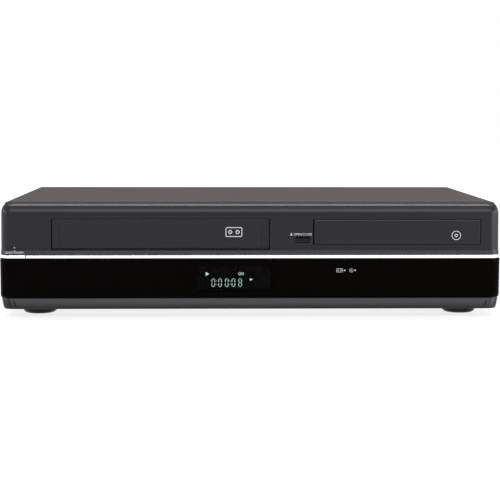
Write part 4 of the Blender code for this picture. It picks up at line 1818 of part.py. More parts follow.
def fan():
    """Square fan frame on the rear panel and its seven-bladed rotor."""
    half = FAN_SIZE / 2
    y_span = (REAR_INNER_Y - GAP - FAN_DEPTH, REAR_INNER_Y - GAP)
    frame = box("fan_frame", (FAN_CENTRE_X - half, FAN_CENTRE_X + half), y_span,
                (FAN_CENTRE_Z - half, FAN_CENTRE_Z + half), look=black_plastic())
    cut(frame, rod("fan_bore", (FAN_CENTRE_X, y_span[0] - OVERRUN, FAN_CENTRE_Z),
                   (FAN_CENTRE_X, y_span[1] + OVERRUN, FAN_CENTRE_Z), FAN_BORE_RADIUS, BIG_SIDES))
    arm_y = (y_span[0] + BITE / 4, y_span[0] + FAN_ARM_WIDTH / 2)

    def arms(shape):
        add_box(shape, (FAN_CENTRE_X - FAN_BORE_RADIUS - BITE, FAN_CENTRE_X + FAN_BORE_RADIUS + BITE),
                (arm_y[0] + BITE / 4, arm_y[1] - BITE / 4),
                (FAN_CENTRE_Z - FAN_ARM_WIDTH / 2, FAN_CENTRE_Z + FAN_ARM_WIDTH / 2))

    def upright_arms(shape):
        add_box(shape, (FAN_CENTRE_X - FAN_ARM_WIDTH / 2, FAN_CENTRE_X + FAN_ARM_WIDTH / 2),
                (arm_y[0] + BITE / 2, arm_y[1] - BITE / 2),
                (FAN_CENTRE_Z - FAN_BORE_RADIUS - BITE, FAN_CENTRE_Z + FAN_BORE_RADIUS + BITE))

    plate = rod("fan_plate", (FAN_CENTRE_X, arm_y[0], FAN_CENTRE_Z), (FAN_CENTRE_X, arm_y[1], FAN_CENTRE_Z),
                FAN_HUB_RADIUS, ROUND_SIDES)
    stub = rod("fan_stub", (FAN_CENTRE_X, arm_y[1] - BITE, FAN_CENTRE_Z),
               (FAN_CENTRE_X, y_span[1] - FAN_ARM_WIDTH, FAN_CENTRE_Z), FAN_ARM_WIDTH / 2)
    join(frame, build("fan_arms", arms), build("fan_upright_arms", upright_arms), plate, stub)
    rotor_y = (arm_y[1] + GAP, y_span[1] - GAP)
    rotor = rod("fan_rotor", (FAN_CENTRE_X, rotor_y[0], FAN_CENTRE_Z),
                (FAN_CENTRE_X, rotor_y[1], FAN_CENTRE_Z),
                FAN_HUB_RADIUS, ROUND_SIDES, (FAN_CENTRE_X, rotor_y[0], FAN_CENTRE_Z), black_plastic())
    middle_y = (rotor_y[0] + rotor_y[1]) / 2
    reach = FAN_BORE_RADIUS - FAN_BLADE_TIP_GAP

    def blades(shape):
        for number in range(FAN_BLADE_COUNT):
            before = len(shape.verts)
            add_box(shape, (-FAN_BLADE_THICKNESS / 2, FAN_BLADE_THICKNESS / 2),
                    (-(rotor_y[1] - rotor_y[0]) / 2 + GAP, (rotor_y[1] - rotor_y[0]) / 2 - GAP),
                    (FAN_HUB_RADIUS - BITE, reach))
            shape.verts.ensure_lookup_table()
            added = shape.verts[before:]
            pitch = Matrix.Rotation(math.radians(FAN_BLADE_PITCH_DEG), 4, "Z")
            round_hub = Matrix.Rotation(2 * math.pi * number / FAN_BLADE_COUNT, 4, "Y")
            move = Matrix.Translation((FAN_CENTRE_X, middle_y, FAN_CENTRE_Z))
            bmesh.ops.transform(shape, matrix=move @ round_hub @ pitch, verts=added)

    join(rotor, build("fan_blades", blades))
    cut(rotor, rod("rotor_bore", (FAN_CENTRE_X, rotor_y[0] - OVERRUN, FAN_CENTRE_Z),
                   (FAN_CENTRE_X, y_span[1] - FAN_ARM_WIDTH + GAP, FAN_CENTRE_Z),
                   FAN_ARM_WIDTH / 2 + PIN_GAP))


def rear_sockets():
    """Jack block, aerial sockets on the tuner, digital video socket and mains inlet."""
    places = rear_jack_places()
    x_places = [x for x, _ in places]
    z_places = [z for _, z in places]
    low_z = BOARD_TOP_Z + GAP
    block = box("rear_jack_block", (min(x_places) - JACK_BLOCK_MARGIN, max(x_places) + JACK_BLOCK_MARGIN),
                (REAR_INNER_Y - GAP - REAR_JACK_BLOCK_DEPTH, REAR_INNER_Y - GAP),
                (low_z, max(z_places) + JACK_BLOCK_MARGIN), look=black_plastic())

    def barrels(shape):
        for x, z in places:
            add_rod(shape, (x, REAR_INNER_Y - BITE - GAP, z), (x, REAR_PANEL_Y + JACK_BARREL_LENGTH, z),
                    JACK_BARREL_RADIUS, FEW_SIDES)

    def bores(shape):
        for x, z in places:
            add_rod(shape, (x, REAR_INNER_Y - REAR_JACK_BLOCK_DEPTH / 2, z),
                    (x, REAR_PANEL_Y + JACK_BARREL_LENGTH + OVERRUN, z), JACK_BORE_RADIUS, FEW_SIDES // 2)

    join(block, build("rear_barrels", barrels))
    cut(block, build("rear_bores", bores))
    tuner = box("tuner_box", (TUNER_CENTRE_X - TUNER_SIZE[0] / 2, TUNER_CENTRE_X + TUNER_SIZE[0] / 2),
                (REAR_INNER_Y - GAP - TUNER_SIZE[1], REAR_INNER_Y - GAP),
                (PAN_TOP_Z + GAP, PAN_TOP_Z + GAP + TUNER_SIZE[2]),
                look=zinc())

    def threads(shape):
        for x, z in aerial_places():
            add_rod(shape, (x, REAR_INNER_Y - GAP - BITE, z), (x, REAR_Y, z), AERIAL_RADIUS, FEW_SIDES)

    def thread_bores(shape):
        for x, z in aerial_places():
            add_rod(shape, (x, REAR_INNER_Y - OVERRUN, z), (x, REAR_Y + OVERRUN, z), AERIAL_BORE_RADIUS,
                    FEW_SIDES // 2)

    join(tuner, build("aerial_threads", threads))
    cut(tuner, build("aerial_bores", thread_bores))
    size_x, size_y, size_z = VIDEO_SOCKET_SIZE
    socket = box("video_socket", (VIDEO_SOCKET_X - size_x / 2, VIDEO_SOCKET_X + size_x / 2),
                 (REAR_PANEL_Y + SOCKET_PROUD / 2 - size_y, REAR_PANEL_Y + SOCKET_PROUD / 2),
                 (VIDEO_SOCKET_Z - size_z / 2, VIDEO_SOCKET_Z + size_z / 2), look=steel())
    leg = box("video_socket_leg", (VIDEO_SOCKET_X - size_x / 3, VIDEO_SOCKET_X + size_x / 3),
              (REAR_PANEL_Y - size_y + BITE, REAR_INNER_Y - size_y / 3), (low_z, VIDEO_SOCKET_Z))
    mouth_x, mouth_z = VIDEO_SOCKET_MOUTH
    mouth = box("video_mouth", (VIDEO_SOCKET_X - mouth_x / 2, VIDEO_SOCKET_X + mouth_x / 2),
                (REAR_PANEL_Y - size_y / 2, REAR_PANEL_Y + OVERRUN),
                (VIDEO_SOCKET_Z - mouth_z / 2, VIDEO_SOCKET_Z + mouth_z / 2))
    join(socket, leg)
    cut(socket, mouth)
    size_x, size_y, size_z = INLET_BODY
    inlet = box("mains_inlet", (INLET_CENTRE_X - size_x / 2, INLET_CENTRE_X + size_x / 2),
                (REAR_PANEL_Y + SOCKET_PROUD - size_y, REAR_PANEL_Y + SOCKET_PROUD),
                (INLET_CENTRE_Z - size_z / 2, INLET_CENTRE_Z + size_z / 2), look=black_plastic())
    leg = box("inlet_leg", (INLET_CENTRE_X - size_x / 3, INLET_CENTRE_X + size_x / 3),
              (REAR_PANEL_Y + SOCKET_PROUD - size_y + BITE, REAR_INNER_Y - size_y / 3),
              (low_z, INLET_CENTRE_Z))
    recess = box("inlet_recess", (INLET_CENTRE_X - INLET_RECESS[0] / 2,
                                  INLET_CENTRE_X + INLET_RECESS[0] / 2),
                 (REAR_PANEL_Y + SOCKET_PROUD - INLET_RECESS[2], REAR_PANEL_Y + SOCKET_PROUD + OVERRUN),
                 (INLET_CENTRE_Z - INLET_RECESS[1] / 2, INLET_CENTRE_Z + INLET_RECESS[1] / 2))

    def pins(shape):
        floor_y = REAR_PANEL_Y + SOCKET_PROUD - INLET_RECESS[2]
        for side in (-1, 1):
            x = INLET_CENTRE_X + side * INLET_PIN_PITCH / 2
            add_rod(shape, (x, floor_y - BITE, INLET_CENTRE_Z),
                    (x, floor_y + INLET_PIN_LENGTH, INLET_CENTRE_Z),
                    INLET_PIN_RADIUS, FEW_SIDES)

    join(inlet, leg)
    cut(inlet, recess)
    join(inlet, build("inlet_pins", pins))


def main():
    """Builds the whole deck, from the casing inwards."""
    clear_scene()
    chassis_base()
    feet()
    rear_panel()
    top_cover()
    screws()
    front_bezel()
    trim_and_power_button()
    eject_button()
    cassette_flap()
    front_door()
    control_panel()
    display_and_board()
    transport_keys()
    front_jacks()
    drive_frame()
    disc_tray()
    tray_gear()
    traverse()
    disc_clamp()
    tape_deck_plate()
    carriage()
    drum()
    spools()
    capstan_group()
    boards()
    fan()
    rear_sockets()


main()
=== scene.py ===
"""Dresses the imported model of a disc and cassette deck: visible pieces, finishes, studio and camera."""

import json
import logging
import math
from dataclasses import dataclass, field
from enum import Enum
from typing import Sequence, Union

import bmesh
import bpy
from mathutils import Matrix, Vector


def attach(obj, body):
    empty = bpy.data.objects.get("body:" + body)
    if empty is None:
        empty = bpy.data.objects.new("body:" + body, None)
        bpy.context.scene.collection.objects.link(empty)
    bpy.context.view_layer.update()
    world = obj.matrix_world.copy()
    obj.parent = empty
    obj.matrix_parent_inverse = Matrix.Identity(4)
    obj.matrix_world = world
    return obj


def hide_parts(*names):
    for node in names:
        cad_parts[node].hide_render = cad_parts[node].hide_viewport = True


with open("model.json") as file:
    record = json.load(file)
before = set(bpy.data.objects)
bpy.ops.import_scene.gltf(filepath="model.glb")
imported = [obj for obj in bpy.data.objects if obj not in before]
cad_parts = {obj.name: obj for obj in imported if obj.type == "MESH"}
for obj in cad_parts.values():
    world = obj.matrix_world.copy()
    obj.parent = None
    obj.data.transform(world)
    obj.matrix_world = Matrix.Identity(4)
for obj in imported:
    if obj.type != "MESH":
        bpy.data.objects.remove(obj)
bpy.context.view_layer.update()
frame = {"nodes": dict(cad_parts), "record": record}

Triple = tuple[float, float, float]
Pair = tuple[float, float]
Number = Union[float, "Wire"]

LOG = logging.getLogger("deck")
QUARTER = math.pi / 2
ORIGIN: Triple = (0.0, 0.0, 0.0)
RIGHT: Triple = (1.0, 0.0, 0.0)
BACK: Triple = (0.0, 1.0, 0.0)
UP: Triple = (0.0, 0.0, 1.0)
# Half the thickness of ink, how far most cuts run past their piece, and the gap that is welded
HAIR = 0.00003
PAST = 0.003
WELD = 0.000001
# The angle in degrees from which the edge of a large moulding stays sharp
CREASE = 30.0
# The place of the camera
EYE: Triple = (-0.0303, -1.2967, 0.1779)


class Body(Enum):
    """The CAD bodies that pieces ride on."""

    CASING = "casing"
    DOOR = "front_door"
    FLAP = "cassette_flap"
    TRAY = "disc_tray"
    POWER = "power_button"
    EJECT = "eject_button"


class Axis(Enum):
    """The direction that an outline is drawn out along."""

    X = "X"
    Y = "Y"
    Z = "Z"


# Node building
class Wire:
    """A node socket that takes part in Python sums, adding Math nodes as it goes."""

    def __init__(self, kit: "NodeKit", socket: bpy.types.NodeSocket) -> None:
        """Args:
            socket: The output socket.
        """
        self.kit = kit
        self.socket = socket

    def sum(self, operation: str, first: Number, second: Number) -> "Wire":
        """Adds one Math node.

        Args:
            operation: The Math node's operation.
            first: The first value or wire.
            second: The second value or wire.

        Returns:
            The node's value.
        """
        return self.kit.add("ShaderNodeMath", {"operation": operation}, {0: first, 1: second})

    def __add__(self, other: Number) -> "Wire":
        """Returns self + other."""
        return self.sum("ADD", self, other)

    def __sub__(self, other: Number) -> "Wire":
        """Returns self - other."""
        return self.sum("SUBTRACT", self, other)

    def __rsub__(self, other: Number) -> "Wire":
        """Returns other - self."""
        return self.sum("SUBTRACT", other, self)

    def __mul__(self, other: Number) -> "Wire":
        """Returns self * other."""
        return self.sum("MULTIPLY", self, other)

    def __truediv__(self, other: Number) -> "Wire":
        """Returns self / other."""
        return self.sum("DIVIDE", self, other)

    def over(self, edge: float) -> "Wire":
        """Returns 1 where self is more than the edge, and 0 elsewhere."""
        return self.sum("GREATER_THAN", self, edge)

    def under(self, edge: float) -> "Wire":
        """Returns 1 where self is less than the edge, and 0 elsewhere."""
        return self.sum("LESS_THAN", self, edge)

    def least(self, other: Number) -> "Wire":
        """Returns the smaller of self and other."""
        return self.sum("MINIMUM", self, other)

    def most(self, other: Number) -> "Wire":
        """Returns the larger of self and other."""
        return self.sum("MAXIMUM", self, other)


class NodeKit:
    """Adds nodes to one tree."""

    def __init__(self, tree: bpy.types.NodeTree) -> None:
        """Keeps the tree.

        Args:
            tree: A shader or geometry tree.
        """
        self.tree = tree

    def add(self, kind: str, settings: dict, inputs: dict, output: Union[int, str] = 0) -> Wire:
        """Adds a node, sets it up and joins its sockets.

        Args:
            kind: The node's type.
            settings: Its properties, set first.
            inputs: Socket name or number to a value or a wire.
            output: The output that is wanted.

        Returns:
            The wanted output.
        """
        node = self.tree.nodes.new(kind)
        for name, value in settings.items():
            setattr(node, name, value)
        for key, value in inputs.items():
            self.join(value, node.inputs[key])
        return Wire(self, node.outputs[output])

    def join(self, value: object, socket: bpy.types.NodeSocket) -> None:
        """Links a wire to a socket, or sets the socket to a value.

        Args:
            value: A wire or a plain value.
            socket: The input socket.
        """
        if isinstance(value, Wire):
            self.tree.links.new(value.socket, socket)
        else:
            socket.default_value = value


class ShaderKit(NodeKit):
    """The nodes that the finishes share."""

    octave_weight = 0.55

    def place(self, scale: Triple = (1.0, 1.0, 1.0)) -> Wire:
        """Returns Object coordinates in metres, scaled along each axis."""
        plain = self.add("ShaderNodeTexCoord", {}, {}, "Object")
        return self.add("ShaderNodeMapping", {}, {"Vector": plain, "Scale": scale})

    def split(self, vector: Wire) -> tuple[Wire, Wire, Wire]:
        """Splits a vector.

        Args:
            vector: The vector to split.

        Returns:
            Its three parts.
        """
        first = self.add("ShaderNodeSeparateXYZ", {}, {0: vector})
        outputs = first.socket.node.outputs
        return Wire(self, outputs[0]), Wire(self, outputs[1]), Wire(self, outputs[2])

    def noise(self, scale: float, detail: float = 2.0, where: Wire | None = None) -> Wire:
        """Adds a noise.

        Args:
            scale: Features per metre.
            detail: Octaves.
            where: The coordinates, or None for plain ones.

        Returns:
            The noise from 0 to 1.
        """
        inputs = {"Vector": where or self.place(), "Scale": scale, "Detail": detail}
        inputs["Roughness"] = self.octave_weight
        return self.add("ShaderNodeTexNoise", {}, inputs, 0)

    def blend(self, share: Number, first: object, second: object) -> Wire:
        """Mixes two colours.

        Args:
            share: How much of the second.
            first: A colour or a wire.
            second: A colour or a wire.

        Returns:
            The mixed colour.
        """
        ends = [(*end, 1.0) if isinstance(end, tuple) else end for end in (first, second)]
        inputs = {0: share, 6: ends[0], 7: ends[1]}
        return self.add("ShaderNodeMix", {"data_type": "RGBA"}, inputs, 2)

    def relief(self, height: Wire, depth: float) -> Wire:
        """Turns a height into a normal.

        Args:
            height: The height from 0 to 1.
            depth: The depth of the relief in metres.

        Returns:
            The normal.
        """
        return self.add("ShaderNodeBump", {}, {"Height": height, "Distance": depth, "Strength": 1.0})


# Finishes
@dataclass(frozen=True)
class Finish:
    """A finish with a fine grain and a slow change of tone.

    Attributes:
        name: The material's name.
        slot: The record's slot that it belongs to; it is not used.
        colour: The base colour, linear.
        roughness: The middle roughness.
        metallic: 1 for bare metal.
        specular: The strength of the clear reflection.
        tone_share: How far the colour drifts.
        tone_scale: Drifts per metre.
        grain_scale: Grains per metre.
        grain_depth: The depth of the grain in metres.
        grain_share: How far the grain changes the roughness.
    """

    name: str
    slot: str
    colour: Triple
    roughness: float
    metallic: float = 0.0
    specular: float = 0.5
    tone_share: float = 0.05
    tone_scale: float = 14.0
    grain_scale: float = 1400.0
    grain_depth: float = 0.000015
    grain_share: float = 0.08

    def material(self) -> bpy.types.Material:
        """Returns the material, made once."""
        made = bpy.data.materials.get(self.name)
        if made:
            return made
        made = bpy.data.materials.new(self.name)
        made.use_nodes = True
        shader = made.node_tree.nodes["Principled BSDF"]
        shader.inputs["Metallic"].default_value = self.metallic
        shader.inputs["Specular IOR Level"].default_value = self.specular
        self.dress(ShaderKit(made.node_tree), shader)
        return made

    def shades(self) -> tuple[Triple, Triple]:
        """Returns the darkest and the lightest tone of the colour."""
        dark = tuple(part * (1 - self.tone_share) for part in self.colour)
        light = tuple(part * (1 + self.tone_share) for part in self.colour)
        return dark, light

    def grains(self, kit: ShaderKit) -> tuple[Wire, Wire]:
        """Returns the slow change of tone and the fine grain, each from 0 to 1."""
        return kit.noise(self.tone_scale), kit.noise(self.grain_scale, detail=3.0)

    def dress(self, kit: ShaderKit, shader: bpy.types.Node) -> None:
        """Feeds colour, roughness and relief from the tone and the grain.

        Args:
            shader: The shader node to feed.
        """
        tone, grain = self.grains(kit)
        kit.join(kit.blend(tone, *self.shades()), shader.inputs["Base Color"])
        low = self.roughness * (1 - self.grain_share)
        kit.join(grain * (2 * self.roughness * self.grain_share) + low, shader.inputs["Roughness"])
        kit.join(kit.relief(grain, self.grain_depth), shader.inputs["Normal"])


@dataclass(frozen=True)
class SpeckledPaint(Finish):
    """A baked paint with fine light and dark specks."""

    speck_scale: float = 2600.0
    speck_share: float = 0.16

    def grains(self, kit: ShaderKit) -> tuple[Wire, Wire]:
        """Returns the tone with the specks in it, and the specks."""
        specks = kit.noise(self.speck_scale, detail=1.0)
        return kit.noise(self.tone_scale) * (1 - self.speck_share) + specks * self.speck_share, specks


@dataclass(frozen=True)
class DrawnMetal(Finish):
    """Sheet or bar with fine lines along one axis.

    Attributes:
        stretch: The scale along each axis, smallest along the lines.
    """

    stretch: Triple = (0.02, 1.0, 1.0)

    def grains(self, kit: ShaderKit) -> tuple[Wire, Wire]:
        """Returns the slow change of tone and the drawn lines."""
        lines = kit.noise(self.grain_scale, detail=3.0, where=kit.place(self.stretch))
        return kit.noise(self.tone_scale, detail=3.0), lines


@dataclass(frozen=True)
class PrintedBoard(Finish):
    """A green board with tinned pads and lighter tracks.

    Attributes:
        pad_scale: Pads per metre.
        pad_radius: How far each pad reaches in its cell.
        pad_colour: The colour of the tin.
        pad_shine: How much less rough a pad is.
        track_scale: Tracks per metre.
        track_bend: How far the tracks wander.
        track_edge: The height of the wave from which it is a track.
        track_lift: How much lighter a track is.
    """

    pad_scale: float = 260.0
    pad_radius: float = 0.18
    pad_colour: Triple = (0.55, 0.55, 0.52)
    pad_shine: float = 0.2
    track_scale: float = 420.0
    track_bend: float = 1.5
    track_edge: float = 0.72
    track_lift: float = 1.8

    def dress(self, kit: ShaderKit, shader: bpy.types.Node) -> None:
        """Adds pads and tracks.

        Args:
            shader: The shader node to feed.
        """
        where = kit.place()
        cells = kit.add("ShaderNodeTexVoronoi", {}, {"Vector": where, "Scale": self.pad_scale}, "Distance")
        pads = cells.under(self.pad_radius)
        settings = {"wave_type": "BANDS", "bands_direction": "X"}
        inputs = {"Vector": where, "Scale": self.track_scale, "Distortion": self.track_bend}
        tracks = kit.add("ShaderNodeTexWave", settings, inputs, "Fac").over(self.track_edge)
        dark, light = self.shades()
        lit = tuple(part * self.track_lift for part in light)
        colour = kit.blend(pads, kit.blend(tracks, dark, lit), self.pad_colour)
        kit.join(colour, shader.inputs["Base Color"])
        kit.join(self.roughness - pads * self.pad_shine, shader.inputs["Roughness"])
        kit.join(kit.relief(pads, self.grain_depth), shader.inputs["Normal"])


@dataclass(frozen=True)
class WindowedAcrylic(Finish):
    """Gloss acrylic that is clearer over a window in front of the display.

    Attributes:
        window_x: The window's span along X.
        window_z: The window's span along Z.
        clear: The share of light let through there.
    """

    window_x: Pair = (-0.047, 0.019)
    window_z: Pair = (0.0225, 0.0445)
    clear: float = 0.45

    def dress(self, kit: ShaderKit, shader: bpy.types.Node) -> None:
        """Adds the window to the plain gloss.

        Args:
            shader: The shader node to feed.
        """
        super().dress(kit, shader)
        x, _, z = kit.split(kit.place())
        inside = x.over(self.window_x[0]) * x.under(self.window_x[1])
        inside = inside * z.over(self.window_z[0]) * z.under(self.window_z[1])
        kit.join(1.0 - inside * self.clear, shader.inputs["Alpha"])


@dataclass(frozen=True)
class Lamp(Finish):
    """A lit segment.

    Attributes:
        strength: How strongly it glows.
        glow: The colour of the light.
        dim_share: How bright its dimmest parts are.
        uneven_scale: Dim parts per metre.
    """

    strength: float = 1.0
    glow: Triple = (0.66, 0.96, 0.88)
    dim_share: float = 0.85
    uneven_scale: float = 600.0

    def dress(self, kit: ShaderKit, shader: bpy.types.Node) -> None:
        """Adds the glow, a little uneven.

        Args:
            shader: The shader node to feed.
        """
        super().dress(kit, shader)
        dim = tuple(part * self.dim_share for part in self.glow)
        lit = kit.blend(kit.noise(self.uneven_scale), dim, self.glow)
        kit.join(lit, shader.inputs["Emission Color"])
        shader.inputs["Emission Strength"].default_value = self.strength


CHARCOAL = Finish("charcoal_moulding", "charcoal", (0.0095, 0.0084, 0.0120), 0.34, specular=0.30)
GLOSS = WindowedAcrylic(
    "gloss_acrylic", "gloss_black", (0.0012, 0.0006, 0.0005), 0.04, specular=0.02,
    grain_depth=0.0, grain_share=0.05,
)
FOOT_GLOSS = Finish(
    "foot_gloss", "gloss_black", (0.004, 0.004, 0.005), 0.12, specular=0.20, grain_depth=0.000002
)
COVER = SpeckledPaint("speckled_paint", "cover_paint", (0.0655, 0.0575, 0.0565), 0.62, specular=0.06)
BRIGHT = DrawnMetal(
    "bright_strip", "bright_trim", (0.96, 0.96, 0.97), 0.16, metallic=1.0, tone_share=0.01,
    grain_depth=0.000001,
)
ZINC = DrawnMetal(
    "zinc_sheet", "zinc", (0.50, 0.50, 0.49), 0.38, metallic=1.0, tone_share=0.12,
    grain_depth=0.000006, stretch=(1.0, 0.03, 1.0),
)
STEEL = DrawnMetal(
    "turned_steel", "steel", (0.58, 0.58, 0.59), 0.24, metallic=1.0, tone_share=0.08,
    grain_depth=0.000003, stretch=(0.04, 0.04, 1.0),
)
INNER = Finish("inner_moulding", "black_plastic", (0.016, 0.016, 0.018), 0.48)
PALE = Finish("pale_moulding", "pale_plastic", (0.56, 0.54, 0.49), 0.42, tone_share=0.04)
BOARD = PrintedBoard("printed_board", "board_green", (0.022, 0.095, 0.040), 0.45)
RUBBER = Finish("black_rubber", "rubber", (0.014, 0.014, 0.014), 0.78, specular=0.3)
GLASS = Finish("tinted_glass", "display_glass", (0.004, 0.010, 0.010), 0.10, grain_depth=0.0)
GLOW = Lamp("lit_segments", "display_glass", (0.10, 0.22, 0.20), 0.40, strength=4.2)
PRINT = Finish("white_print", "pale_plastic", (0.62, 0.62, 0.63), 0.55, grain_depth=0.000004)
YELLOW = Finish("yellow_socket", "pale_plastic", (0.75, 0.52, 0.03), 0.38)
WHITE = Finish("white_socket", "pale_plastic", (0.72, 0.72, 0.70), 0.38)
RED = Finish("red_socket", "pale_plastic", (0.50, 0.02, 0.02), 0.38)
FINISH_BY_SLOT = {
    "charcoal": CHARCOAL,
    "gloss_black": FOOT_GLOSS,
    "cover_paint": COVER,
    "bright_trim": BRIGHT,
    "zinc": ZINC,
    "steel": STEEL,
    "black_plastic": INNER,
    "pale_plastic": PALE,
    "board_green": BOARD,
    "rubber": RUBBER,
    "display_glass": GLASS,
}


# Mesh building
def new_object(name: str, mesh: bpy.types.Mesh) -> bpy.types.Object:
    """Adds a mesh to the scene as an object at the origin.

    Args:
        name: The object's name.
        mesh: Its mesh.

    Returns:
        The object.
    """
    made = bpy.data.objects.new(name, mesh)
    bpy.context.scene.collection.objects.link(made)
    return made


def from_shape(name: str, shape: bmesh.types.BMesh) -> bpy.types.Object:
    """Turns a bmesh into an object with outward faces.

    Args:
        name: The object's name.
        shape: The bmesh, freed afterwards.

    Returns:
        The object.
    """
    bmesh.ops.remove_doubles(shape, verts=shape.verts, dist=WELD)
    bmesh.ops.recalc_face_normals(shape, faces=shape.faces)
    mesh = bpy.data.meshes.new(name)
    shape.to_mesh(mesh)
    shape.free()
    return new_object(name, mesh)


def settle(piece: bpy.types.Object) -> bpy.types.Object:
    """Swaps a piece's mesh for what its modifiers make of it.

    Args:
        piece: The piece.

    Returns:
        The piece, with no modifiers left.
    """
    bpy.context.view_layer.update()
    evaluated = piece.evaluated_get(bpy.context.evaluated_depsgraph_get())
    mesh = bpy.data.meshes.new_from_object(evaluated)
    old = piece.data
    piece.modifiers.clear()
    piece.data = mesh
    bpy.data.meshes.remove(old)
    return piece


def carve(piece: bpy.types.Object, *cutters: bpy.types.Object) -> bpy.types.Object:
    """Cuts each cutter out of a piece and removes the cutters.

    Args:
        piece: The piece that stays.
        *cutters: What is taken out.

    Returns:
        The piece.
    """
    for cutter in cutters:
        step = piece.modifiers.new(cutter.name, "BOOLEAN")
        step.operation = "DIFFERENCE"
        step.solver = "EXACT"
        step.object = cutter
    settle(piece)
    for cutter in cutters:
        bpy.data.objects.remove(cutter, do_unlink=True)
    return piece


def merge(piece: bpy.types.Object, *others: bpy.types.Object) -> bpy.types.Object:
    """Adds the meshes of other objects to a piece, as shells of their own.

    Args:
        piece: The piece that stays.
        *others: Objects that are taken in and removed.

    Returns:
        The piece.
    """
    shape = bmesh.new()
    for source in (piece, *others):
        shape.from_mesh(source.data)
    shape.to_mesh(piece.data)
    shape.free()
    for other in others:
        bpy.data.objects.remove(other, do_unlink=True)
    return piece


def smooth(piece: bpy.types.Object, degrees: float = 32.0) -> bpy.types.Object:
    """Shades a piece smooth across its gentle edges, with its flat faces kept flat.

    Args:
        piece: The piece.
        degrees: The angle from which an edge stays sharp.

    Returns:
        The piece.
    """
    piece.data.shade_smooth()
    piece.data.set_sharp_from_angle(angle=math.radians(degrees))
    even = piece.modifiers.new("even", "WEIGHTED_NORMAL")
    even.keep_sharp = True
    even.weight = 100
    return settle(piece)


def add_loft(shape: bmesh.types.BMesh, rings: Sequence[Sequence[Triple]]) -> None:
    """Adds a closed solid through rings of equally many points.

    Args:
        shape: The bmesh to add to.
        rings: The rings in order, each going round.
    """
    drawn = [[shape.verts.new(point) for point in ring] for ring in rings]
    count = len(drawn[0])
    for low, high in zip(drawn, drawn[1:]):
        for number in range(count):
            after = (number + 1) % count
            shape.faces.new((low[number], low[after], high[after], high[number]))
    shape.faces.new(list(reversed(drawn[0])))
    shape.faces.new(drawn[-1])


def add_prism(
    shape: bmesh.types.BMesh, points: Sequence[Pair], axis: Axis, span: Pair
) -> None:
    """Adds an outline drawn out along an axis.

    Args:
        shape: The bmesh to add to.
        points: (y, z), (x, z) or (x, y) pairs for axis X, Y or Z.
        axis: The axis to draw along.
        span: Where it starts and ends along the axis.
    """
    rings = []
    for along in span:
        if axis is Axis.X:
            rings.append([(along, first, second) for first, second in points])
        elif axis is Axis.Y:
            rings.append([(first, along, second) for first, second in points])
        else:
            rings.append([(first, second, along) for first, second in points])
    add_loft(shape, rings)


def rounded_rectangle(first: Pair, second: Pair, radius: float, steps: int = 6) -> list[Pair]:
    """Gives the outline of a rectangle with round corners.

    Args:
        first: Its span along the first axis.
        second: Its span along the second axis.
        radius: The corners' radius.
        steps: Steps per corner.

    Returns:
        The outline, going round.
    """
    corners = (
        (first[1] - radius, second[1] - radius, 0.0),
        (first[0] + radius, second[1] - radius, QUARTER),
        (first[0] + radius, second[0] + radius, 2 * QUARTER),
        (first[1] - radius, second[0] + radius, 3 * QUARTER),
    )
    points = []
    for x, y, start in corners:
        for number in range(steps + 1):
            angle = start + QUARTER * number / steps
            points.append((x + radius * math.cos(angle), y + radius * math.sin(angle)))
    return points


def circle(x: float, y: float, radius: float, steps: int) -> list[Pair]:
    """Gives a circle as an outline.

    Args:
        x: The centre along the first axis.
        y: The centre along the second axis.
        radius: The radius.
        steps: How many points it has.

    Returns:
        The outline.
    """
    turns = [2 * math.pi * number / steps for number in range(steps)]
    return [(x + radius * math.cos(turn), y + radius * math.sin(turn)) for turn in turns]


def block(name: str, x: Pair, y: Pair, z: Pair, radius: float = 0.0, steps: int = 3) -> bpy.types.Object:
    """Makes a block, with all its edges rounded when a radius is given.

    Args:
        name: The object's name.
        x: Its span along X.
        y: Its span along Y.
        z: Its span along Z.
        radius: The edges' radius.
        steps: Steps per edge.

    Returns:
        The object.
    """
    shape = bmesh.new()
    outline = [(x[0], y[0]), (x[1], y[0]), (x[1], y[1]), (x[0], y[1])]
    add_prism(shape, outline, Axis.Z, z)
    if radius:
        bmesh.ops.bevel(
            shape, geom=list(shape.edges), offset=radius, segments=steps, profile=0.5, affect="EDGES"
        )
    return from_shape(name, shape)


def rod(radius: float, length: float) -> list[Pair]:
    """Returns the profile of a plain rod."""
    return [(0.0, 0.0), (radius, 0.0), (radius, length), (0.0, length)]


def lathe(
    name: str, profile: Sequence[Pair], centre: Triple, axis: Triple, steps: int
) -> bpy.types.Object:
    """Turns a profile about an axis.

    Args:
        name: The object's name.
        profile: (radius, height) pairs from the first pole to the last, or a closed ring.
        centre: The place of height zero.
        axis: The direction of growing height.
        steps: Steps round.

    Returns:
        The object.
    """
    shape = bmesh.new()
    turn = Vector(UP).rotation_difference(Vector(axis)).to_matrix().to_4x4()
    place = Matrix.Translation(centre) @ turn
    closed = profile[0][0] > 0.0
    rings = []
    for radius, height in profile:
        count = steps if radius > 0.0 else 1
        ring = []
        for number in range(count):
            angle = 2 * math.pi * number / steps
            point = Vector((radius * math.cos(angle), radius * math.sin(angle), height))
            ring.append(shape.verts.new(place @ point))
        rings.append(ring)
    pairs = list(zip(rings, rings[1:]))
    if closed:
        pairs.append((rings[-1], rings[0]))
    for low, high in pairs:
        for number in range(steps):
            after = (number + 1) % steps
            corners = [low[number % len(low)], low[after % len(low)]]
            corners += [high[after % len(high)], high[number % len(high)]]
            kept = [vert for index, vert in enumerate(corners) if vert not in corners[:index]]
            if len(kept) > 2:
                shape.faces.new(kept)
    return from_shape(name, shape)


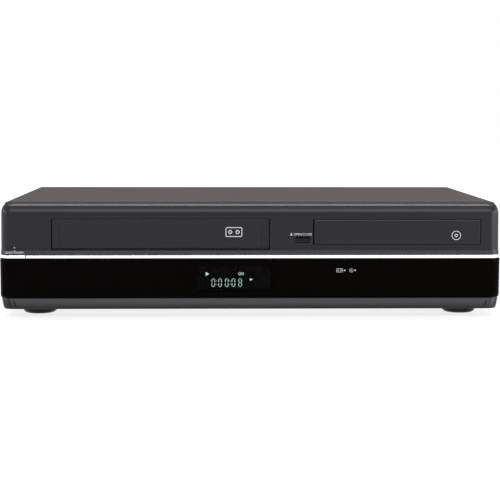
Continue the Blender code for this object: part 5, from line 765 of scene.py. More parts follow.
def eased(
    points: Sequence[Sequence[float]], radii: Sequence[float], steps: int = 5, most: float = 0.49
) -> list[Vector]:
    """Rounds the corners of a path.

    Args:
        points: The path's corners, in any number of dimensions up to three.
        radii: How far back from each corner its curve starts.
        steps: Steps per rounded corner.
        most: The share of each side that a curve may take.

    Returns:
        The path with each corner that has a radius replaced by a curve.
    """
    made = []
    last = len(points) - 1
    for number, (point, radius) in enumerate(zip(points, radii)):
        corner = Vector(point)
        if not radius or number in (0, last):
            made.append(corner)
            continue
        back = Vector(points[number - 1]) - corner
        ahead = Vector(points[number + 1]) - corner
        start = corner + back.normalized() * min(radius, back.length * most)
        end = corner + ahead.normalized() * min(radius, ahead.length * most)
        for step in range(steps + 1):
            share = step / steps
            first = start.lerp(corner, share)
            made.append(first.lerp(corner.lerp(end, share), share))
    return made


def wrap_ring(front: float, z: float, half: float, corner: float, rear: float) -> list[Triple]:
    """Gives one level of a moulding that wraps round the deck's front corners.

    Args:
        front: Y of the front.
        z: The level.
        half: Half the width.
        corner: The corners' radius in plan.
        rear: Y of the rear ends.

    Returns:
        The points, from the left rear end round the front to the right one.
    """
    steps = 10
    points = [(-half, rear, z)]
    for side in (-1, 1):
        for number in range(steps + 1):
            share = number if side < 0 else steps - number
            angle = QUARTER * share / steps
            x = side * (half - corner + corner * math.cos(angle))
            points.append((x, front + corner - corner * math.sin(angle), z))
    points.append((half, rear, z))
    return points


def wrap_solid(
    name: str, profile: Sequence[Sequence[float]], corner: float, rear: float
) -> bpy.types.Object:
    """Lofts a solid through wrapped levels.

    Args:
        name: The object's name.
        profile: (front y, z, half width) of each level, upwards.
        corner: The corners' radius in plan.
        rear: Y of the flat back.

    Returns:
        The object.
    """
    shape = bmesh.new()
    add_loft(shape, [wrap_ring(front, z, half, corner, rear) for front, z, half in profile])
    return from_shape(name, shape)


def flared_cutter(name: str, x: Pair, z: Pair, face: float, back: float, flare: float) -> bpy.types.Object:
    """Makes the cutter of an opening whose rim is chamfered at the face.

    Args:
        name: The object's name.
        x: The opening's span along X.
        z: The opening's span along Z.
        face: Y of the face.
        back: Y where the cut ends.
        flare: The chamfer's size.

    Returns:
        The cutter.
    """
    largest_corner, corner_share, reach = 0.0004, 0.4, 0.004
    wide = 2 * flare
    rings = []
    for y, grow in ((back, 0.0), (face + flare, 0.0), (face - flare, wide), (face - reach, wide)):
        corner = min(largest_corner, corner_share * (x[1] - x[0])) + grow
        spans = ((x[0] - grow, x[1] + grow), (z[0] - grow, z[1] + grow))
        outline = rounded_rectangle(*spans, corner, steps=3)
        rings.append([(first, y, second) for first, second in outline])
    shape = bmesh.new()
    add_loft(shape, rings)
    return from_shape(name, shape)


def install(
    piece: bpy.types.Object, finish: Finish, body: Union[Body, str], nodes: Sequence[str] = ()
) -> bpy.types.Object:
    """Gives a finished piece its material and its body.

    Args:
        piece: The piece, in place.
        finish: Its finish.
        body: The body that it rides on.
        nodes: The CAD nodes that it stands for.

    Returns:
        The piece.
    """
    piece.data.materials.clear()
    piece.data.materials.append(finish.material())
    if nodes:
        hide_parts(*nodes)
    rides_on = body.value if isinstance(body, Body) else body
    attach(piece, rides_on)
    LOG.info("%s rides on %s, %d faces", piece.name, rides_on, len(piece.data.polygons))
    return piece


# Repeated work
class Pattern:
    """A geometry node tree with named inputs, run once on a host mesh."""

    def __init__(self, name: str, inputs: dict[str, str]) -> None:
        """Makes the tree and its sockets.

        Args:
            name: The tree's name.
            inputs: Each input's name and socket type.
        """
        self.tree = bpy.data.node_groups.new(name, "GeometryNodeTree")
        self.kit = NodeKit(self.tree)
        face = self.tree.interface
        face.new_socket(name="Geometry", in_out="OUTPUT", socket_type="NodeSocketGeometry")
        face.new_socket(name="Host", in_out="INPUT", socket_type="NodeSocketGeometry")
        self.keys = {
            key: face.new_socket(name=key, in_out="INPUT", socket_type=kind).identifier
            for key, kind in inputs.items()
        }
        self.entry = self.tree.nodes.new("NodeGroupInput")

    def given(self, name: str) -> Wire:
        """Returns the named input inside the tree."""
        return Wire(self.kit, self.entry.outputs[name])

    def close(self, geometry: Wire) -> None:
        """Realises the geometry, gives it the finish and ends the tree.

        Args:
            geometry: What the tree has made.
        """
        real = self.kit.add("GeometryNodeRealizeInstances", {}, {0: geometry})
        dressed = self.kit.add(
            "GeometryNodeSetMaterial", {}, {"Geometry": real, "Material": self.given("Finish")}
        )
        end = self.tree.nodes.new("NodeGroupOutput")
        self.kit.join(dressed, end.inputs[0])

    def run(self, host: bpy.types.Object, values: dict[str, object]) -> bpy.types.Object:
        """Runs the tree on a host and keeps the result as its mesh.

        Args:
            host: The host object.
            values: Each input's name and value.

        Returns:
            The host with its new mesh.
        """
        step = host.modifiers.new(self.tree.name, "NODES")
        step.node_group = self.tree
        for name, value in values.items():
            step[self.keys[name]] = value
        return settle(host)


class Scatter(Pattern):
    """Puts one small piece on each point of a host, turned to face its way."""

    def __init__(self) -> None:
        """Builds the tree."""
        super().__init__("scatter", {"Piece": "NodeSocketObject", "Finish": "NodeSocketMaterial"})
        piece = self.kit.add("GeometryNodeObjectInfo", {}, {"Object": self.given("Piece")}, "Geometry")
        facing = self.kit.add(
            "GeometryNodeInputNamedAttribute", {"data_type": "FLOAT_VECTOR"}, {"Name": "facing"}, 0
        )
        turn = self.kit.add("FunctionNodeAlignRotationToVector", {"axis": "Z"}, {"Vector": facing})
        copies = self.kit.add(
            "GeometryNodeInstanceOnPoints", {},
            {"Points": self.given("Host"), "Instance": piece, "Rotation": turn},
        )
        self.close(copies)

    def spread(
        self, name: str, piece: bpy.types.Object, places: Sequence[tuple[Triple, Triple]], finish: Finish
    ) -> bpy.types.Object:
        """Makes one object from copies of a piece.

        Args:
            name: The new object's name.
            piece: The piece to copy, standing on the origin along +Z.
            places: (place, facing) of each copy.
            finish: The finish of all the copies.

        Returns:
            The new object.
        """
        mesh = bpy.data.meshes.new(name)
        mesh.from_pydata([place for place, _ in places], [], [])
        facing = mesh.attributes.new("facing", "FLOAT_VECTOR", "POINT")
        for item, (_, way) in zip(facing.data, places):
            item.vector = way
        made = self.run(new_object(name, mesh), {"Piece": piece, "Finish": finish.material()})
        bpy.data.objects.remove(piece, do_unlink=True)
        return smooth(made)


class Perforation(Pattern):
    """Cuts a grid of slots through both side walls of a sheet."""

    def __init__(self) -> None:
        """Builds the tree."""
        super().__init__(
            "perforation",
            {
                "Cutter": "NodeSocketObject",
                "Columns": "NodeSocketInt",
                "Rows": "NodeSocketInt",
                "Column Pitch": "NodeSocketFloat",
                "Row Pitch": "NodeSocketFloat",
                "Centre": "NodeSocketVector",
                "Finish": "NodeSocketMaterial",
            },
        )
        length = self.given("Column Pitch") * (self.given("Columns") - 1.0)
        height = self.given("Row Pitch") * (self.given("Rows") - 1.0)
        grid = self.kit.add(
            "GeometryNodeMeshGrid", {},
            {
                "Size X": length,
                "Size Y": height,
                "Vertices X": self.given("Columns"),
                "Vertices Y": self.given("Rows"),
            },
        )
        stood = self.kit.add(
            "GeometryNodeTransform", {},
            {"Geometry": grid, "Translation": self.given("Centre"), "Rotation": (QUARTER, 0.0, QUARTER)},
        )
        cutter = self.kit.add("GeometryNodeObjectInfo", {}, {"Object": self.given("Cutter")}, "Geometry")
        copies = self.kit.add("GeometryNodeInstanceOnPoints", {}, {"Points": stood, "Instance": cutter})
        real = self.kit.add("GeometryNodeRealizeInstances", {}, {0: copies})
        sheet = self.kit.add(
            "GeometryNodeMeshBoolean", {"operation": "DIFFERENCE", "solver": "EXACT"},
            {"Mesh 1": self.given("Host"), "Mesh 2": real},
        )
        self.close(sheet)


# The deck's pieces
@dataclass
class FrontBezel:
    """The charcoal front moulding.

    Attributes:
        section: (front y, z, half width, radius) of each corner, from the underside to the crown.
        rooms: (name, front y, z) of each hollow behind the skin.
    """

    section: tuple[tuple[float, float, float, float], ...] = (
        (-0.1250, 0.0075, 0.2100, 0.0),
        (-0.1330, 0.0075, 0.2154, 0.0003),
        (-0.1340, 0.0086, 0.2159, 0.0007),
        (-0.1337, 0.0100, 0.2163, 0.0010),
        (-0.1330, 0.0124, 0.2169, 0.0012),
        (-0.1319, 0.0152, 0.2176, 0.0009),
        (-0.1309, 0.0172, 0.2179, 0.0003),
        (-0.1300, 0.0172, 0.2179, 0.0),
        (-0.1300, 0.0345, 0.2179, 0.0020),
        (-0.1300, 0.0547, 0.2179, 0.0),
        (-0.1324, 0.0547, 0.2179, 0.0004),
        (-0.1310, 0.0595, 0.2178, 0.0020),
        (-0.1310, 0.0928, 0.2174, 0.0026),
        (-0.1279, 0.0972, 0.2158, 0.0006),
        (-0.1260, 0.0985, 0.2142, 0.0005),
        (-0.1200, 0.0991, 0.2095, 0.0),
    )
    rooms: tuple[tuple[str, float, Pair], ...] = (
        ("bay_rear", -0.1310, (0.0192, 0.0498)),
        ("upper_hollow", -0.1285, (0.0560, 0.0922)),
        ("crown_hollow", -0.1250, (0.0916, 0.0966)),
        ("skirt_hollow", -0.1285, (0.0100, 0.0147)),
    )
    corner: float = 0.009
    rear: float = -0.114
    face: float = -0.131
    half: float = 0.2179
    wall_x: float = 0.2109
    bay: Pair = (0.0172, 0.0518)
    bay_y: Pair = (-0.14, -0.122)
    band_reach: float = 0.01
    band_y: Pair = (-0.15, -0.1214)
    band_z: Pair = (0.0512, 0.0547)
    band_front: float = -0.134
    band_depth: float = 0.0046
    core_z: Pair = (0.050, 0.056)
    core_rear: float = -0.10
    openings: tuple[tuple[Pair, Pair], ...] = (
        ((-0.1735, 0.0164), (0.0591, 0.0860)),
        ((0.0539, 0.2006), (0.0636, 0.0854)),
        ((0.0386, 0.0510), (0.0652, 0.0703)),
    )
    opening_back: float = -0.1255
    opening_flare: float = 0.0002
    slit_x: float = 0.2052
    slit_y: Pair = (-0.1350, -0.1306)
    slit_z: Pair = (0.0101, 0.0146)
    slit_lean: float = 0.0012
    slit_half: float = 0.0004
    door_axis: Pair = (-0.129, 0.0225)
    ear_x: Pair = (0.2113, 0.2137)
    ear_radius: float = 0.0024
    ear_bore: float = 0.0013
    arm_inset: float = 0.0003
    arm_y: Pair = (-0.1272, -0.1216)
    arm_z: Pair = (0.0228, 0.0246)

    def profile(self) -> list[Vector]:
        """Returns (front y, z, half width) along the eased section."""
        return eased([row[:-1] for row in self.section], [row[-1] for row in self.section])

    def band_cutter(self) -> bpy.types.Object:
        """Returns the cutter of the strip's groove."""
        reach = self.half + self.band_reach
        outer = block("band_outer", (-reach, reach), self.band_y, self.band_z)
        front = self.band_front + self.band_depth
        levels = [(front, z, self.half - self.band_depth) for z in self.core_z]
        inner = wrap_solid("band_inner", levels, self.corner - self.band_depth / 2, self.core_rear)
        return carve(outer, inner)

    def hollows(self) -> list[bpy.types.Object]:
        """Returns the cutters of the bay and of the moulding's inside."""
        reach = self.half + PAST
        cutters = [block("bay", (-reach, reach), self.bay_y, self.bay)]
        for name, front, z in self.rooms:
            cutters.append(block(name, (-self.wall_x, self.wall_x), (front, self.rear + PAST), z))
        return cutters

    def slits(self) -> list[bpy.types.Object]:
        """Returns the cutters of the two slanted slits in the skirt."""
        cutters = []
        low, high = self.slit_z
        for side in (-1, 1):
            foot = side * (self.slit_x - self.slit_lean)
            head = side * (self.slit_x + self.slit_lean)
            points = [
                (foot - self.slit_half, low),
                (foot + self.slit_half, low),
                (head + self.slit_half, high),
                (head - self.slit_half, high),
            ]
            shape = bmesh.new()
            add_prism(shape, points, Axis.Y, self.slit_y)
            cutters.append(from_shape("slit", shape))
        return cutters

    def ears(self) -> list[bpy.types.Object]:
        """Returns the two ears that hold the door's pins."""
        made = []
        y, z = self.door_axis
        inner, outer = self.ear_x
        length = outer - inner
        radius, bore = self.ear_radius, self.ear_bore
        ring = [(radius, 0.0), (radius, length), (bore, length), (bore, 0.0)]
        for side in (-1, 1):
            made.append(lathe("ear", ring, (side * inner, y, z), (float(side), 0.0, 0.0), steps=24))
            arm_x = sorted((side * (inner + self.arm_inset), side * (outer - self.arm_inset)))
            made.append(block("arm", tuple(arm_x), self.arm_y, self.arm_z))
        return made

    def build(self) -> None:
        """Makes the moulding."""
        bezel = wrap_solid("front_bezel_skin", self.profile(), self.corner, self.rear)
        openings = [
            flared_cutter("opening", x, z, self.face, self.opening_back, self.opening_flare)
            for x, z in self.openings
        ]
        carve(bezel, *self.hollows(), self.band_cutter(), *openings, *self.slits())
        merge(bezel, *self.ears())
        install(smooth(bezel, CREASE), CHARCOAL, Body.CASING, ["front_bezel"])


@dataclass
class BrightStrip:
    """The bright strip across the front, with the power button as its left end."""

    half: float = 0.2175
    front: float = -0.1336
    rear: float = -0.1223
    button_rear: float = -0.1233
    depth: float = 0.0032
    z: Pair = (0.05185, 0.05465)
    split_x: float = -0.1954
    gap: float = 0.0003
    round: float = 0.0003
    corner: float = 0.0088
    stem: tuple[Pair, Pair, Pair] = ((-0.207, -0.203), (-0.1310, -0.1244), (0.05245, 0.05405))

    def band(self, name: str, x: Pair, rear: float) -> bpy.types.Object:
        """Sweeps the strip's section along a part of the front.

        Args:
            name: The object's name.
            x: Where it starts and ends; past a side it turns the corner.
            rear: Y of an end that has turned a corner.

        Returns:
            The band.
        """
        section = rounded_rectangle((-self.depth, 0.0), self.z, self.round, steps=3)
        straight = self.half - self.corner
        ahead = Vector((0.0, -1.0))
        stations = []
        for along, y, _ in wrap_ring(self.front, 0.0, self.half, self.corner, rear):
            side = (along > straight) - (along < -straight)
            turned = Vector((along - side * straight, min(0.0, y - (self.front + self.corner))))
            out = turned.normalized() if side else ahead
            if x[0] <= along <= x[1]:
                stations.append((along, y, out))
        for place, end in zip((0, len(stations)), x):
            if abs(end) < self.half:
                stations.insert(place, (end, self.front, ahead))
        rings = [
            [(along + out[0] * deep, y + out[1] * deep, z) for deep, z in section]
            for along, y, out in stations
        ]
        shape = bmesh.new()
        add_loft(shape, rings)
        return from_shape(name, shape)

    def build(self) -> None:
        """Makes the strip and the button."""
        reach = self.half + PAST
        strip = self.band("bright_strip_skin", (self.split_x + self.gap, reach), self.rear)
        install(smooth(strip, CREASE), BRIGHT, Body.CASING, ["trim_strip"])
        button = self.band("power_button_cap", (-reach, self.split_x - self.gap), self.button_rear)
        merge(button, block("stem", *self.stem))
        install(smooth(button, CREASE), BRIGHT, Body.POWER, ["power_button"])


@dataclass
class GlossDoor:
    """The gloss black door under the strip.

    Attributes:
        brow: How far the top edge runs back and in.
        tail: How far the lower edge runs behind the hinge's axis.
        tail_insets: How much narrower the lower edge is, at its end and over the axis.
    """

    half: float = 0.2186
    front: float = -0.13397
    rear: float = -0.1223
    z: Pair = (0.0175, 0.0515)
    wall: float = 0.0022
    knuckle: float = 0.005
    corner: float = 0.0095
    brow: float = 0.002
    brow_radius: float = 0.0014
    tail: float = 0.001
    tail_insets: Pair = (0.0005, 0.0002)
    axis: Pair = (-0.129, 0.0225)
    round_depth: float = 0.009
    rod_past: float = 0.005
    hollow_lift: float = 0.0006
    lower_inset: float = 0.0006
    lower_lift: float = 0.0012
    pin_x: float = 0.2132
    pin_radius: float = 0.001
    pin_length: float = 0.0038
    notch_x: Pair = (0.2110, 0.2140)
    notch_radius: float = 0.0027

    def rear_corner(self) -> bpy.types.Object:
        """Returns the cutter that rounds the lower rear corner about the hinge."""
        y, z = self.axis
        reach = self.half + PAST
        corner = block("rear_corner", (-reach, reach), (y, self.rear + PAST), (z - self.round_depth, z))
        profile = rod(self.rear - y, 2 * (reach + self.rod_past))
        return carve(corner, lathe("round", profile, (-reach - self.rod_past, y, z), RIGHT, steps=96))

    def hollow(self) -> bpy.types.Object:
        """Returns the cutter of the door's inside over the hinge."""
        levels = (self.axis[1] + self.hollow_lift, self.z[1] + PAST)
        profile = [(self.front + self.wall, level, self.half - self.wall) for level in levels]
        return wrap_solid("hollow", profile, self.corner - self.wall, self.rear + PAST)

    def lower(self) -> bpy.types.Object:
        """Returns the cutter of the door's inside behind the hinge."""
        y, z = self.axis
        inside = self.half - self.wall - self.lower_inset
        span = (self.z[0] - PAST, z + self.lower_lift)
        return block("lower", (-inside, inside), (y, self.rear + PAST), span)

    def build(self) -> None:
        """Makes the door."""
        low, high = self.z
        y, z = self.axis
        points = [
            (y + self.tail, low, self.half - self.tail_insets[0]),
            (y, low, self.half - self.tail_insets[1]),
            (self.front, low, self.half),
            (self.front, high, self.half),
            (self.front + self.brow, high, self.half - self.brow),
        ]
        profile = eased(points, [0, 0, self.knuckle, self.brow_radius, 0], steps=8)
        door = wrap_solid("front_door_skin", profile, self.corner, self.rear)
        carve(door, self.rear_corner(), self.hollow(), self.lower())
        pins = []
        notches = []
        pin = rod(self.pin_radius, self.pin_length)
        notch = rod(self.notch_radius, self.notch_x[1] - self.notch_x[0])
        for side in (-1, 1):
            way = (float(side), 0.0, 0.0)
            pins.append(lathe("pin", pin, (side * self.pin_x, y, z), way, steps=20))
            notches.append(lathe("notch", notch, (side * self.notch_x[0], y, z), way, steps=28))
        carve(door, *notches)
        merge(door, *pins)
        install(smooth(door, CREASE), GLOSS, Body.DOOR, ["front_door"])


@dataclass
class CassetteFlap:
    """The flap of the cassette opening, with its ears and pins."""

    x: Pair = (-0.1727, 0.0156)
    z: Pair = (0.0602, 0.0858)
    face: float = -0.1307
    back: float = -0.1287
    edge: float = 0.0009
    axis: Pair = (-0.126, 0.0896)
    ridge_inset: float = 0.0063
    ridge_half: float = 0.0003
    ridge_z: Pair = (0.0616, 0.0822)
    ridge_back: float = -0.1302
    ridge_flare: float = 0.0001
    lip_y: Pair = (-0.1295, -0.1287)
    lip_z: Pair = (0.0595, 0.0614)
    lip_edge: float = 0.0001
    ear: float = 0.003
    arm_y: Pair = (-0.1291, -0.1246)
    arm_z: Pair = (0.0798, 0.0852)
    arm_edge: float = 0.0002
    riser_y: Pair = (-0.1268, -0.1252)
    riser_low: float = 0.0846
    boss_radius: float = 0.002
    pin_radius: float = 0.0011
    pin_length: float = 0.004
    pin_out: float = 0.0034

    def ears(self) -> list[bpy.types.Object]:
        """Returns the arm, riser, boss and pin at each end."""
        made = []
        y, z = self.axis
        left, right = self.x
        pins = (left - self.pin_out, right + self.pin_out - self.pin_length)
        for low, pin_x in zip((left, right - self.ear), pins):
            span = (low, low + self.ear)
            made += [
                block("arm", span, self.arm_y, self.arm_z, self.arm_edge),
                block("riser", span, self.riser_y, (self.riser_low, z)),
                lathe("boss", rod(self.boss_radius, self.ear), (low, y, z), RIGHT, steps=20),
                lathe("pin", rod(self.pin_radius, self.pin_length), (pin_x, y, z), RIGHT, steps=16),
            ]
        return made

    def build(self) -> None:
        """Makes the flap."""
        flap = block("cassette_flap_plate", self.x, (self.face, self.back), self.z, self.edge)
        grooves = []
        for x in (self.x[0] + self.ridge_inset, self.x[1] - self.ridge_inset):
            span = (x - self.ridge_half, x + self.ridge_half)
            groove = flared_cutter("ridge", span, self.ridge_z, self.face, self.ridge_back, self.ridge_flare)
            grooves.append(groove)
        carve(flap, *grooves)
        merge(flap, block("lip", self.x, self.lip_y, self.lip_z, self.lip_edge), *self.ears())
        install(smooth(flap), CHARCOAL, Body.FLAP, ["cassette_flap"])


@dataclass
class DiscTray:
    """The tray with its stepped recess, slot and rack, and its chamfered front.

    Attributes:
        recesses: (name, radius, floor z) of each step of the recess.
        bed_crease: The angle from which the bed's edges stay sharp, in degrees.
        front_crease: The same for the front.
        tooth: The rack teeth's depth, half their tip and half their root.
    """

    x: Pair = (0.06205, 0.19405)
    y: Pair = (-0.1282, 0.0438)
    z: Pair = (0.067, 0.073)
    edge: float = 0.0005
    centre: Pair = (0.12805, -0.0592)
    recesses: tuple[tuple[str, float, float], ...] = (("big", 0.061, 0.0690), ("small", 0.0405, 0.0682))
    floor_edge: float = 0.0006
    rim: float = 0.0004
    rim_out: float = 0.0008
    slot_half: float = 0.017
    slot_z: Pair = (0.060, 0.080)
    front_x: Pair = (0.0549, 0.2001)
    front_y: Pair = (-0.131, -0.1285)
    front_z: Pair = (0.0638, 0.0852)
    front_edge: float = 0.0007
    rack_x: Pair = (0.18105, 0.18405)
    rack_z: Pair = (0.0640, 0.0673)
    rack_rear: float = 0.0432
    rack_pitch: float = 0.0034558
    rack_start: float = -0.109183
    rack_teeth: int = 44
    tooth: Triple = (0.0021, 0.0003, 0.0008)
    bed_crease: float = 28.0
    front_crease: float = 20.0

    def recess(self, name: str, radius: float, floor: float) -> bpy.types.Object:
        """Returns the cutter of a round recess with a chamfered rim.

        Args:
            name: The cutter's name.
            radius: The recess's radius.
            floor: Z of its floor.

        Returns:
            The cutter.
        """
        top = self.z[1]
        outer = radius + self.rim_out
        profile = [(0.0, floor), (radius - self.floor_edge, floor), (radius, floor + self.floor_edge)]
        profile += [(radius, top - self.rim), (outer, top + self.rim)]
        profile += [(outer, top + PAST), (0.0, top + PAST)]
        return lathe(name, profile, (*self.centre, 0.0), UP, steps=120)

    def rack(self) -> bpy.types.Object:
        """Returns the toothed rack under the tray."""
        x, back = self.rack_x
        depth, tip, root = self.tooth
        start = self.rack_start - self.rack_pitch / 2
        outline = [(back, start), (back, self.rack_rear), (x, self.rack_rear)]
        for number in reversed(range(self.rack_teeth)):
            middle = self.rack_start + number * self.rack_pitch
            outline += [(x, middle + root), (x - depth, middle + tip)]
            outline += [(x - depth, middle - tip), (x, middle - root)]
        outline.append((x, start))
        shape = bmesh.new()
        add_prism(shape, outline, Axis.Z, self.rack_z)
        return from_shape("rack", shape)

    def build(self) -> None:
        """Makes the tray and its front."""
        tray = block("disc_tray_bed", self.x, self.y, self.z, self.edge)
        x, y = self.centre
        slot_y = (y - self.slot_half, self.y[1] + PAST)
        slot = block("slot", (x - self.slot_half, x + self.slot_half), slot_y, self.slot_z)
        carve(tray, *[self.recess(*row) for row in self.recesses], slot)
        merge(tray, self.rack())
        install(smooth(tray, self.bed_crease), INNER, Body.TRAY, ["disc_tray"])
        spans = (self.front_x, self.front_y, self.front_z)
        front = block("tray_front_plate", *spans, self.front_edge, steps=2)
        install(smooth(front, self.front_crease), CHARCOAL, Body.TRAY, ["tray_front"])


@dataclass
class EjectButton:
    """The small open and close button.

    Attributes:
        face: (behind the front, above the lower edge) of each corner of the sloping shelf and its groove.
        flange: How far the flange stands out round the cap.
    """

    x: Pair = (0.0389, 0.0507)
    z: Pair = (0.0660, 0.0700)
    front: float = -0.1317
    rear: float = -0.1277
    face: tuple[Pair, ...] = (
        (0.0005, 0.0),
        (0.0005, 0.0006),
        (0.0014, 0.0012),
        (0.0014, 0.0019),
        (0.0, 0.0022),
        (0.0, 0.0024),
        (0.0021, 0.0038),
        (0.0021, 0.0040),
    )
    edge: float = 0.0001
    flange: float = 0.0012
    flange_y: Pair = (-0.1282, -0.1272)

    def build(self) -> None:
        """Makes the button, with a sloping shelf on top and a groove for the fingertip below it."""
        low, high = self.z
        points = [(self.front + back, low + up) for back, up in self.face]
        radii = [0] + [self.edge] * len(points) + [0]
        path = eased([(self.rear, low), *points, (self.rear, high)], radii, steps=2)
        shape = bmesh.new()
        add_prism(shape, [tuple(point) for point in path], Axis.X, self.x)
        cap = from_shape("eject_button_cap", shape)
        flange_x, flange_z = ((span[0] - self.flange, span[1] + self.flange) for span in (self.x, self.z))
        merge(cap, block("flange", flange_x, self.flange_y, flange_z))
        install(smooth(cap), CHARCOAL, Body.EJECT, ["eject_button"])


@dataclass
class TopCover:
    """The folded cover with its side slots."""

    half: float = 0.2156
    top: float = 0.0995
    hem: float = 0.0084
    sheet: float = 0.0008
    fold: float = 0.0020
    y: Pair = (-0.1137, 0.1260)
    slot_columns: int = 12
    slot_rows: int = 2
    slot_pitch: float = 0.0065
    slot_row_pitch: float = 0.021
    slot_first_y: float = 0.016
    slot_low_z: float = 0.0388
    slot_height: float = 0.016
    slot_width: float = 0.003
    slot_roundness: float = 0.98
    slot_past: float = 0.01

    def outline(self) -> list[Pair]:
        """Returns the folded sheet's section as (x, z) pairs."""
        made: list[Pair] = []
        for inset in (0.0, self.sheet):
            half = self.half - inset
            top = self.top - inset
            fold = self.fold - inset
            corners = [(-half, self.hem), (-half, top), (half, top), (half, self.hem)]
            pairs = [(point[0], point[1]) for point in eased(corners, [0, fold, fold, 0], steps=10)]
            made += pairs if not inset else list(reversed(pairs))
        return made

    def build(self, perforation: Perforation) -> None:
        """Makes the cover.

        Args:
            perforation: The tree that cuts the slots.
        """
        shape = bmesh.new()
        add_prism(shape, self.outline(), Axis.Y, self.y)
        cover = from_shape("top_cover_skin", shape)
        cut = bmesh.new()
        half_y, half_z = self.slot_width / 2, self.slot_height / 2
        slot = rounded_rectangle((-half_y, half_y), (-half_z, half_z), half_y * self.slot_roundness)
        add_prism(cut, slot, Axis.X, (-self.half - self.slot_past, self.half + self.slot_past))
        cutter = from_shape("slot_cutter", cut)
        middle_y = self.slot_first_y + self.slot_pitch * (self.slot_columns - 1) / 2
        middle_z = self.slot_low_z + half_z + self.slot_row_pitch * (self.slot_rows - 1) / 2
        values = {
            "Cutter": cutter,
            "Columns": self.slot_columns,
            "Rows": self.slot_rows,
            "Column Pitch": self.slot_pitch,
            "Row Pitch": self.slot_row_pitch,
            "Centre": (0.0, middle_y, middle_z),
            "Finish": COVER.material(),
        }
        perforation.run(cover, values)
        bpy.data.objects.remove(cutter, do_unlink=True)
        install(smooth(cover, CREASE), COVER, Body.CASING, ["top_cover"])


@dataclass
class FeetAndScrews:
    """The four feet and the six screws.

    Attributes:
        foot_profile: (radius, height) from the middle of the underside to the middle of the top.
        screw_profile: (radius, height) from the shank's end to the head's middle.
        cross: Half the length and half the width of each arm of the cross.
        cross_floors: The floor of each arm, kept apart so that the cuts don't share a plane.
        cross_top: Where both cuts end, over the head.
    """

    feet: tuple[Pair, ...] = ((-0.188, -0.096), (0.188, -0.096), (-0.188, 0.096), (0.188, 0.096))
    foot_profile: tuple[Pair, ...] = (
        (0.0, 0.0), (0.0122, 0.0), (0.0128, 0.0002), (0.0138, 0.0008), (0.0145, 0.0016),
        (0.0149, 0.0024), (0.0150, 0.0032), (0.0150, 0.0070), (0.0147, 0.0075), (0.0, 0.0075),
    )
    screw_profile: tuple[Pair, ...] = (
        (0.0, -0.0045), (0.0015, -0.0045), (0.0015, 0.0), (0.0040, 0.0), (0.0040, 0.0007),
        (0.0037, 0.0011), (0.0030, 0.0014), (0.0018, 0.0016), (0.0, 0.0016),
    )
    cross: Pair = (0.0019, 0.0004)
    cross_floors: Pair = (0.0006, 0.00065)
    cross_top: float = 0.003
    cover_half: float = 0.2153
    screw_y: Pair = (-0.089, 0.1047)
    screw_z: float = 0.0208
    rear_x: float = 0.203
    rear_y: float = 0.1260
    rear_z: float = 0.0905

    def foot(self) -> bpy.types.Object:
        """Returns one foot, standing on the origin."""
        return lathe("foot", self.foot_profile, ORIGIN, UP, steps=64)

    def screw(self) -> bpy.types.Object:
        """Returns one cross-head screw, its seat at the origin."""
        head = lathe("screw", self.screw_profile, ORIGIN, UP, steps=28)
        arms = []
        for (wide, deep), floor in zip((self.cross, self.cross[::-1]), self.cross_floors):
            arms.append(block("cross", (-wide, wide), (-deep, deep), (floor, self.cross_top)))
        return carve(head, *arms)

    def build(self, scatter: Scatter) -> None:
        """Makes the feet and the screws.

        Args:
            scatter: The tree that copies them to their places.
        """
        feet = scatter.spread("feet", self.foot(), [((x, y, 0.0), UP) for x, y in self.feet], FOOT_GLOSS)
        names = [f"foot_{end}_{side}" for end in ("front", "rear") for side in ("left", "right")]
        install(feet, FOOT_GLOSS, Body.CASING, names)
        places = [
            ((side * self.cover_half, y, self.screw_z), (float(side), 0.0, 0.0))
            for side in (-1, 1)
            for y in self.screw_y
        ]
        places += [((side * self.rear_x, self.rear_y, self.rear_z), BACK) for side in (-1, 1)]
        screws = scatter.spread("screws", self.screw(), places, STEEL)
        names = [f"cover_screw_{side}_{end}" for side in ("left", "right") for end in ("front", "rear")]
        install(screws, STEEL, Body.CASING, names + ["rear_screw_left", "rear_screw_right"])


